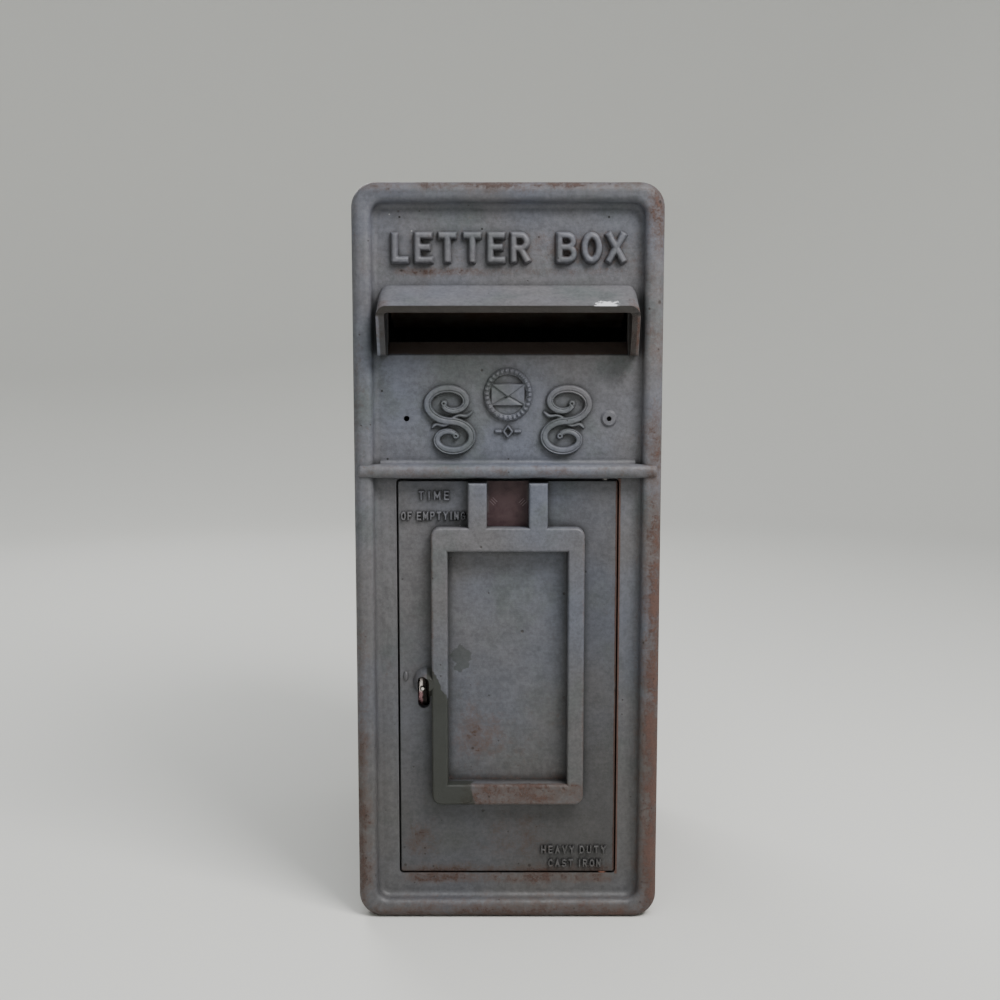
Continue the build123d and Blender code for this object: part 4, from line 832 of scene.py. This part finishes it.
# The finish of each slot in the record, and of single parts that differ from their slot's others
FRONT = primer_over_iron("primer_on_front", front_rust, front_marks, brushed_up=BRUSH_TURN)
DOOR = primer_over_iron("primer_on_door", door_rust, door_patches_and_flat_shade)
BODY = primer_over_iron("primer_on_body", body_rust)
PLATE = primer_over_iron("primer_on_plate", plate_rust, plate_spots)
FINISHES = {
    "painted_iron_front": FRONT,
    "painted_iron_door": DOOR,
    "painted_iron_body": BODY,
    "painted_sheet": PLATE,
    "bare_sheet": sheet_coat("bare_sheet", (0.16, 0.13, 0.11), (0.09, 0.05, 0.03), 0.5, 0.6),
    "dark_enamel": enamel_coat(),
    "felt": felt_coat(),
    "bronze": sheet_coat("red_bronze", (0.32, 0.15, 0.10), (0.10, 0.05, 0.05), 0.9, 0.4),
    "polished_steel": sheet_coat("polished_steel", (0.86, 0.84, 0.80), (0.55, 0.5, 0.46), 1.0, 0.18),
    "brass": sheet_coat("aged_brass", AGED_BRASS, BRASS_TARNISH, 1.0, 0.3),
    "machined_steel": sheet_coat("turned_steel", (0.42, 0.42, 0.42), (0.22, 0.19, 0.17), 1.0, 0.3),
    "rusty_iron": sheet_coat("rusty_iron", (0.12, 0.07, 0.045), (0.05, 0.03, 0.02), 0.1, 0.8, 0.0018),
    "galvanised_wire": sheet_coat("galvanised_wire", (0.33, 0.34, 0.35), (0.2, 0.2, 0.2), 0.8, 0.45),
    "zinc_screws": sheet_coat("dull_zinc", (0.45, 0.45, 0.46), (0.27, 0.25, 0.23), 0.95, 0.35),
    "rusty_bolts": sheet_coat("rusty_bolts", (0.10, 0.06, 0.04), (0.045, 0.03, 0.02), 0.1, 0.8, 0.0018),
    "brass_screws": sheet_coat("brass_screws", (0.52, 0.38, 0.16), (0.25, 0.17, 0.08), 0.95, 0.32),
}
LOCK = lock_coat()
OWN_FINISHES = {"keyhole_cover": cover_coat(), "lock_case": LOCK, "lock_cap": LOCK}


def coat_cad_nodes():
    """Gives every part of the model its own finish, or its slot's."""
    for entry in frame["record"]["subparts"]:
        name = entry["node"]
        give(frame["nodes"][name].data, OWN_FINISHES.get(name, FINISHES[entry["material_slot"]]))


# Body, slot and finish of a relief piece on the case and on the door
ON_CASE = ("case", "painted_iron_front", FRONT)
ON_DOOR = ("door_leaf", "painted_iron_door", DOOR)


def centred(strokes, length, x, z):
    """A line of letters centred on x, with its baseline at z."""
    return placed(strokes, x - length / 2, z)


def header_lettering():
    """Two generic words cast above the hood, one from the left and one up to the right."""
    size = {
        "cap": HEADER_CAP, "stroke": 6.9 * MM, "relief": 5.2 * MM, "pitch": 2.1 * MM,
        "word_gap": 0, "squeeze": 0.97, "section": SLAB,
    }
    left = words("LETTER", **size)[0]
    right, right_length = words("BOX", **size)
    strokes = placed(left, HEADER_LEFT, HEADER_BASE)
    strokes += placed(right, HEADER_RIGHT - right_length, HEADER_BASE)
    cast_piece("header_lettering", strokes, *ON_CASE, voxel=0.42 * MM)


ENVELOPE_HALF = (14.5 * MM, 9.5 * MM)


def envelope_rise(x, z):
    """Height of the envelope: a slab with bevelled borders, its flap a step higher, and two seams.

    The slab stands 2.2 mm. The flap, above a V from the top corners to the middle, stands 1.3 mm
    more, and each seam, from a lower corner to the middle, is a rounded groove 1 mm deep. The
    border falls off over the last 1.2 mm.
    """
    half_x, half_z = ENVELOPE_HALF
    border = np.minimum(half_x - np.abs(x), half_z - np.abs(z))
    reach = (half_x - np.abs(x)) * half_z / half_x
    flap = np.clip((z - half_z + 1.15 * reach) / (0.6 * MM) + 0.5, 0, 1)
    seam = np.exp(-(((z + half_z - 0.9 * reach) / (1.0 * MM)) ** 2)) * (1 - flap)
    return (2.2 * MM + 1.3 * MM * flap - 1.0 * MM * seam) * np.clip(border / (1.2 * MM), 0, 1)


def centre_ornament():
    """Beaded oval ring round a plain envelope, with a lozenge and two bars below it."""
    middle = PANEL_MIDDLE + 21.5 * MM
    oval = loop(bow(0, 0, 17.6 * MM, 19.4 * MM, 0, 360), 0.6 * MM)
    inner = loop(bow(0, 0, 15.6 * MM, 17.2 * MM, 0, 360), 0.6 * MM)
    parts = placed([ridge(oval, 5.0 * MM, 4.2 * MM, closed=True, beads=30)], 0, middle)
    parts += placed([ridge(inner, 1.6 * MM, 2.0 * MM, closed=True)], 0, middle)
    width, height = (2 * half for half in ENVELOPE_HALF)
    parts += placed([relief_plate(width, height, envelope_rise, 1 * MM, 121)], 0, middle)
    lozenge = loop(np.array([(0, 4.6), (3.4, 0), (0, -4.6), (-3.4, 0), (0, 4.6)]) * MM, 0.4 * MM)
    parts += placed([ridge(lozenge, 2.6 * MM, 3.0 * MM, closed=True)], 0, PANEL_LOW)
    for side in (-1, 1):
        bar = even(np.array([(side * 4.2, 0), (side * 11.4, 0)]) * MM, 0.3 * MM)
        parts += placed([ridge(bar, 3.6 * MM, 3.0 * MM, taper=0.5)], 0, PANEL_LOW)
    cast_piece("panel_medallion", parts, *ON_CASE, voxel=0.3 * MM)


def volute(centre_x, centre_z, across, up, start, sweep, closing):
    """Points of a spiral about a centre: an ellipse arc whose radius shrinks by closing to its end."""
    share = np.linspace(0, 1, 90)
    turn = np.radians(start + sweep * share)
    size = 1 - closing * share**1.25
    return np.stack([centre_x + across * size * np.cos(turn), centre_z + up * size * np.sin(turn)], axis=1)


def scroll_ornament(name, side):
    """One flourish beside the medallion: two volutes, a leaf and a spur where they join, two buds.

    The upper volute winds in clockwise from its foot and the lower one clockwise from its head, so
    that they meet in an S with a shared tangent. There is a bud at each eye. The flourish on the
    other side is the same shape turned over.
    """
    upper = volute(-1.0 * MM, 15.0 * MM, 21.0 * MM, 15.0 * MM, 270, -440, 0.74)
    lower = volute(-1.0 * MM, -14.0 * MM, 19.5 * MM, 14.0 * MM, 90, -420, 0.74)
    line = even(np.vstack([upper[::-1], lower[1:]]), 0.6 * MM)
    leaf = smooth_path(np.array([(-1.5, 1.5), (5.5, 4.6), (12.0, 4.2), (17.5, 8.4)]) * MM, 0.5 * MM)
    spur = smooth_path(np.array([(0.5, -1.0), (-6.5, -3.6), (-12.5, -2.6), (-17.0, -6.4)]) * MM, 0.5 * MM)
    strokes = [ridge(line, 6.9 * MM, 4.0 * MM, RIBBON, taper=0.35)]
    strokes += [ridge(path, 4.0 * MM, 3.1 * MM, taper=0.75) for path in (leaf, spur)]
    for eye in (upper[-1], lower[-1]):
        bud = loop(np.array(bow(0, 0, 1.5 * MM, 1.5 * MM, 0, 360)) + eye, 0.35 * MM)
        strokes.append(ridge(bud, 3.4 * MM, 4.2 * MM, closed=True))
    turned = []
    for points, faces in strokes:
        mirrored = points * np.array([side, 1, 1]) + np.array([side * SCROLL_X, FACE, PANEL_MIDDLE])
        turned.append((mirrored, faces if side > 0 else [face[::-1] for face in faces]))
    cast_piece(name, turned, *ON_CASE, voxel=0.32 * MM)


def door_lettering():
    """Small generic words on the door: two lines at the upper left and two at the lower right."""
    stroke, relief, word_gap = 2.2 * MM, 2.6 * MM, 2.6 * MM
    parts = []
    for text, cap, x, z, squeeze, pitch in (
        ("TIME", 8.6 * MM, -61 * MM, DOOR_TOP - 16.6 * MM, 1.0, 1.7 * MM),
        ("OF EMPTYING", 7.9 * MM, -61.5 * MM, DOOR_TOP - 33.3 * MM, 0.84, 0.45 * MM),
        ("HEAVY DUTY", 7.6 * MM, 56 * MM, DOOR_BOTTOM + 16.0 * MM, 0.95, 0.9 * MM),
        ("CAST IRON", 7.6 * MM, 57 * MM, DOOR_BOTTOM + 4.2 * MM, 0.9, 0.7 * MM),
    ):
        strokes, length = words(text, cap, stroke, relief, pitch, word_gap, squeeze, SLAB)
        parts += centred(strokes, length, x, z)
    cast_piece("door_lettering", parts, *ON_DOOR, voxel=0.25 * MM, softening=1)


def door_nub():
    """Small drop-shaped lump on the door beside the lock: a spheroid pressed into the face.

    x = a sin p cos q, z = c cos p, depth = -b sin p sin q for p from 0 to pi, q all the way round.
    """
    middle_x, middle_z = -85.3 * MM, 207.5 * MM
    half_width, half_depth, half_height = 2.1 * MM, 1.9 * MM, 4.3 * MM
    p, q = np.meshgrid(np.linspace(0, np.pi, 25)[1:-1], np.linspace(0, 2 * np.pi, 33)[:-1], indexing="ij")
    x = middle_x + half_width * np.sin(p) * np.cos(q)
    y = FACE - half_depth * np.sin(p) * np.sin(q)
    z = middle_z + half_height * np.cos(p)
    points = np.stack([x, y, z], -1).reshape(-1, 3)
    cast_piece("door_nub", [(points, tube_faces(*p.shape))], *ON_DOOR, voxel=0.3 * MM)


camera_and_light()
studio_bowl()
coat_cad_nodes()
header_lettering()
centre_ornament()
scroll_ornament("left_scroll", 1)
scroll_ornament("right_scroll", -1)
door_lettering()
door_nub()
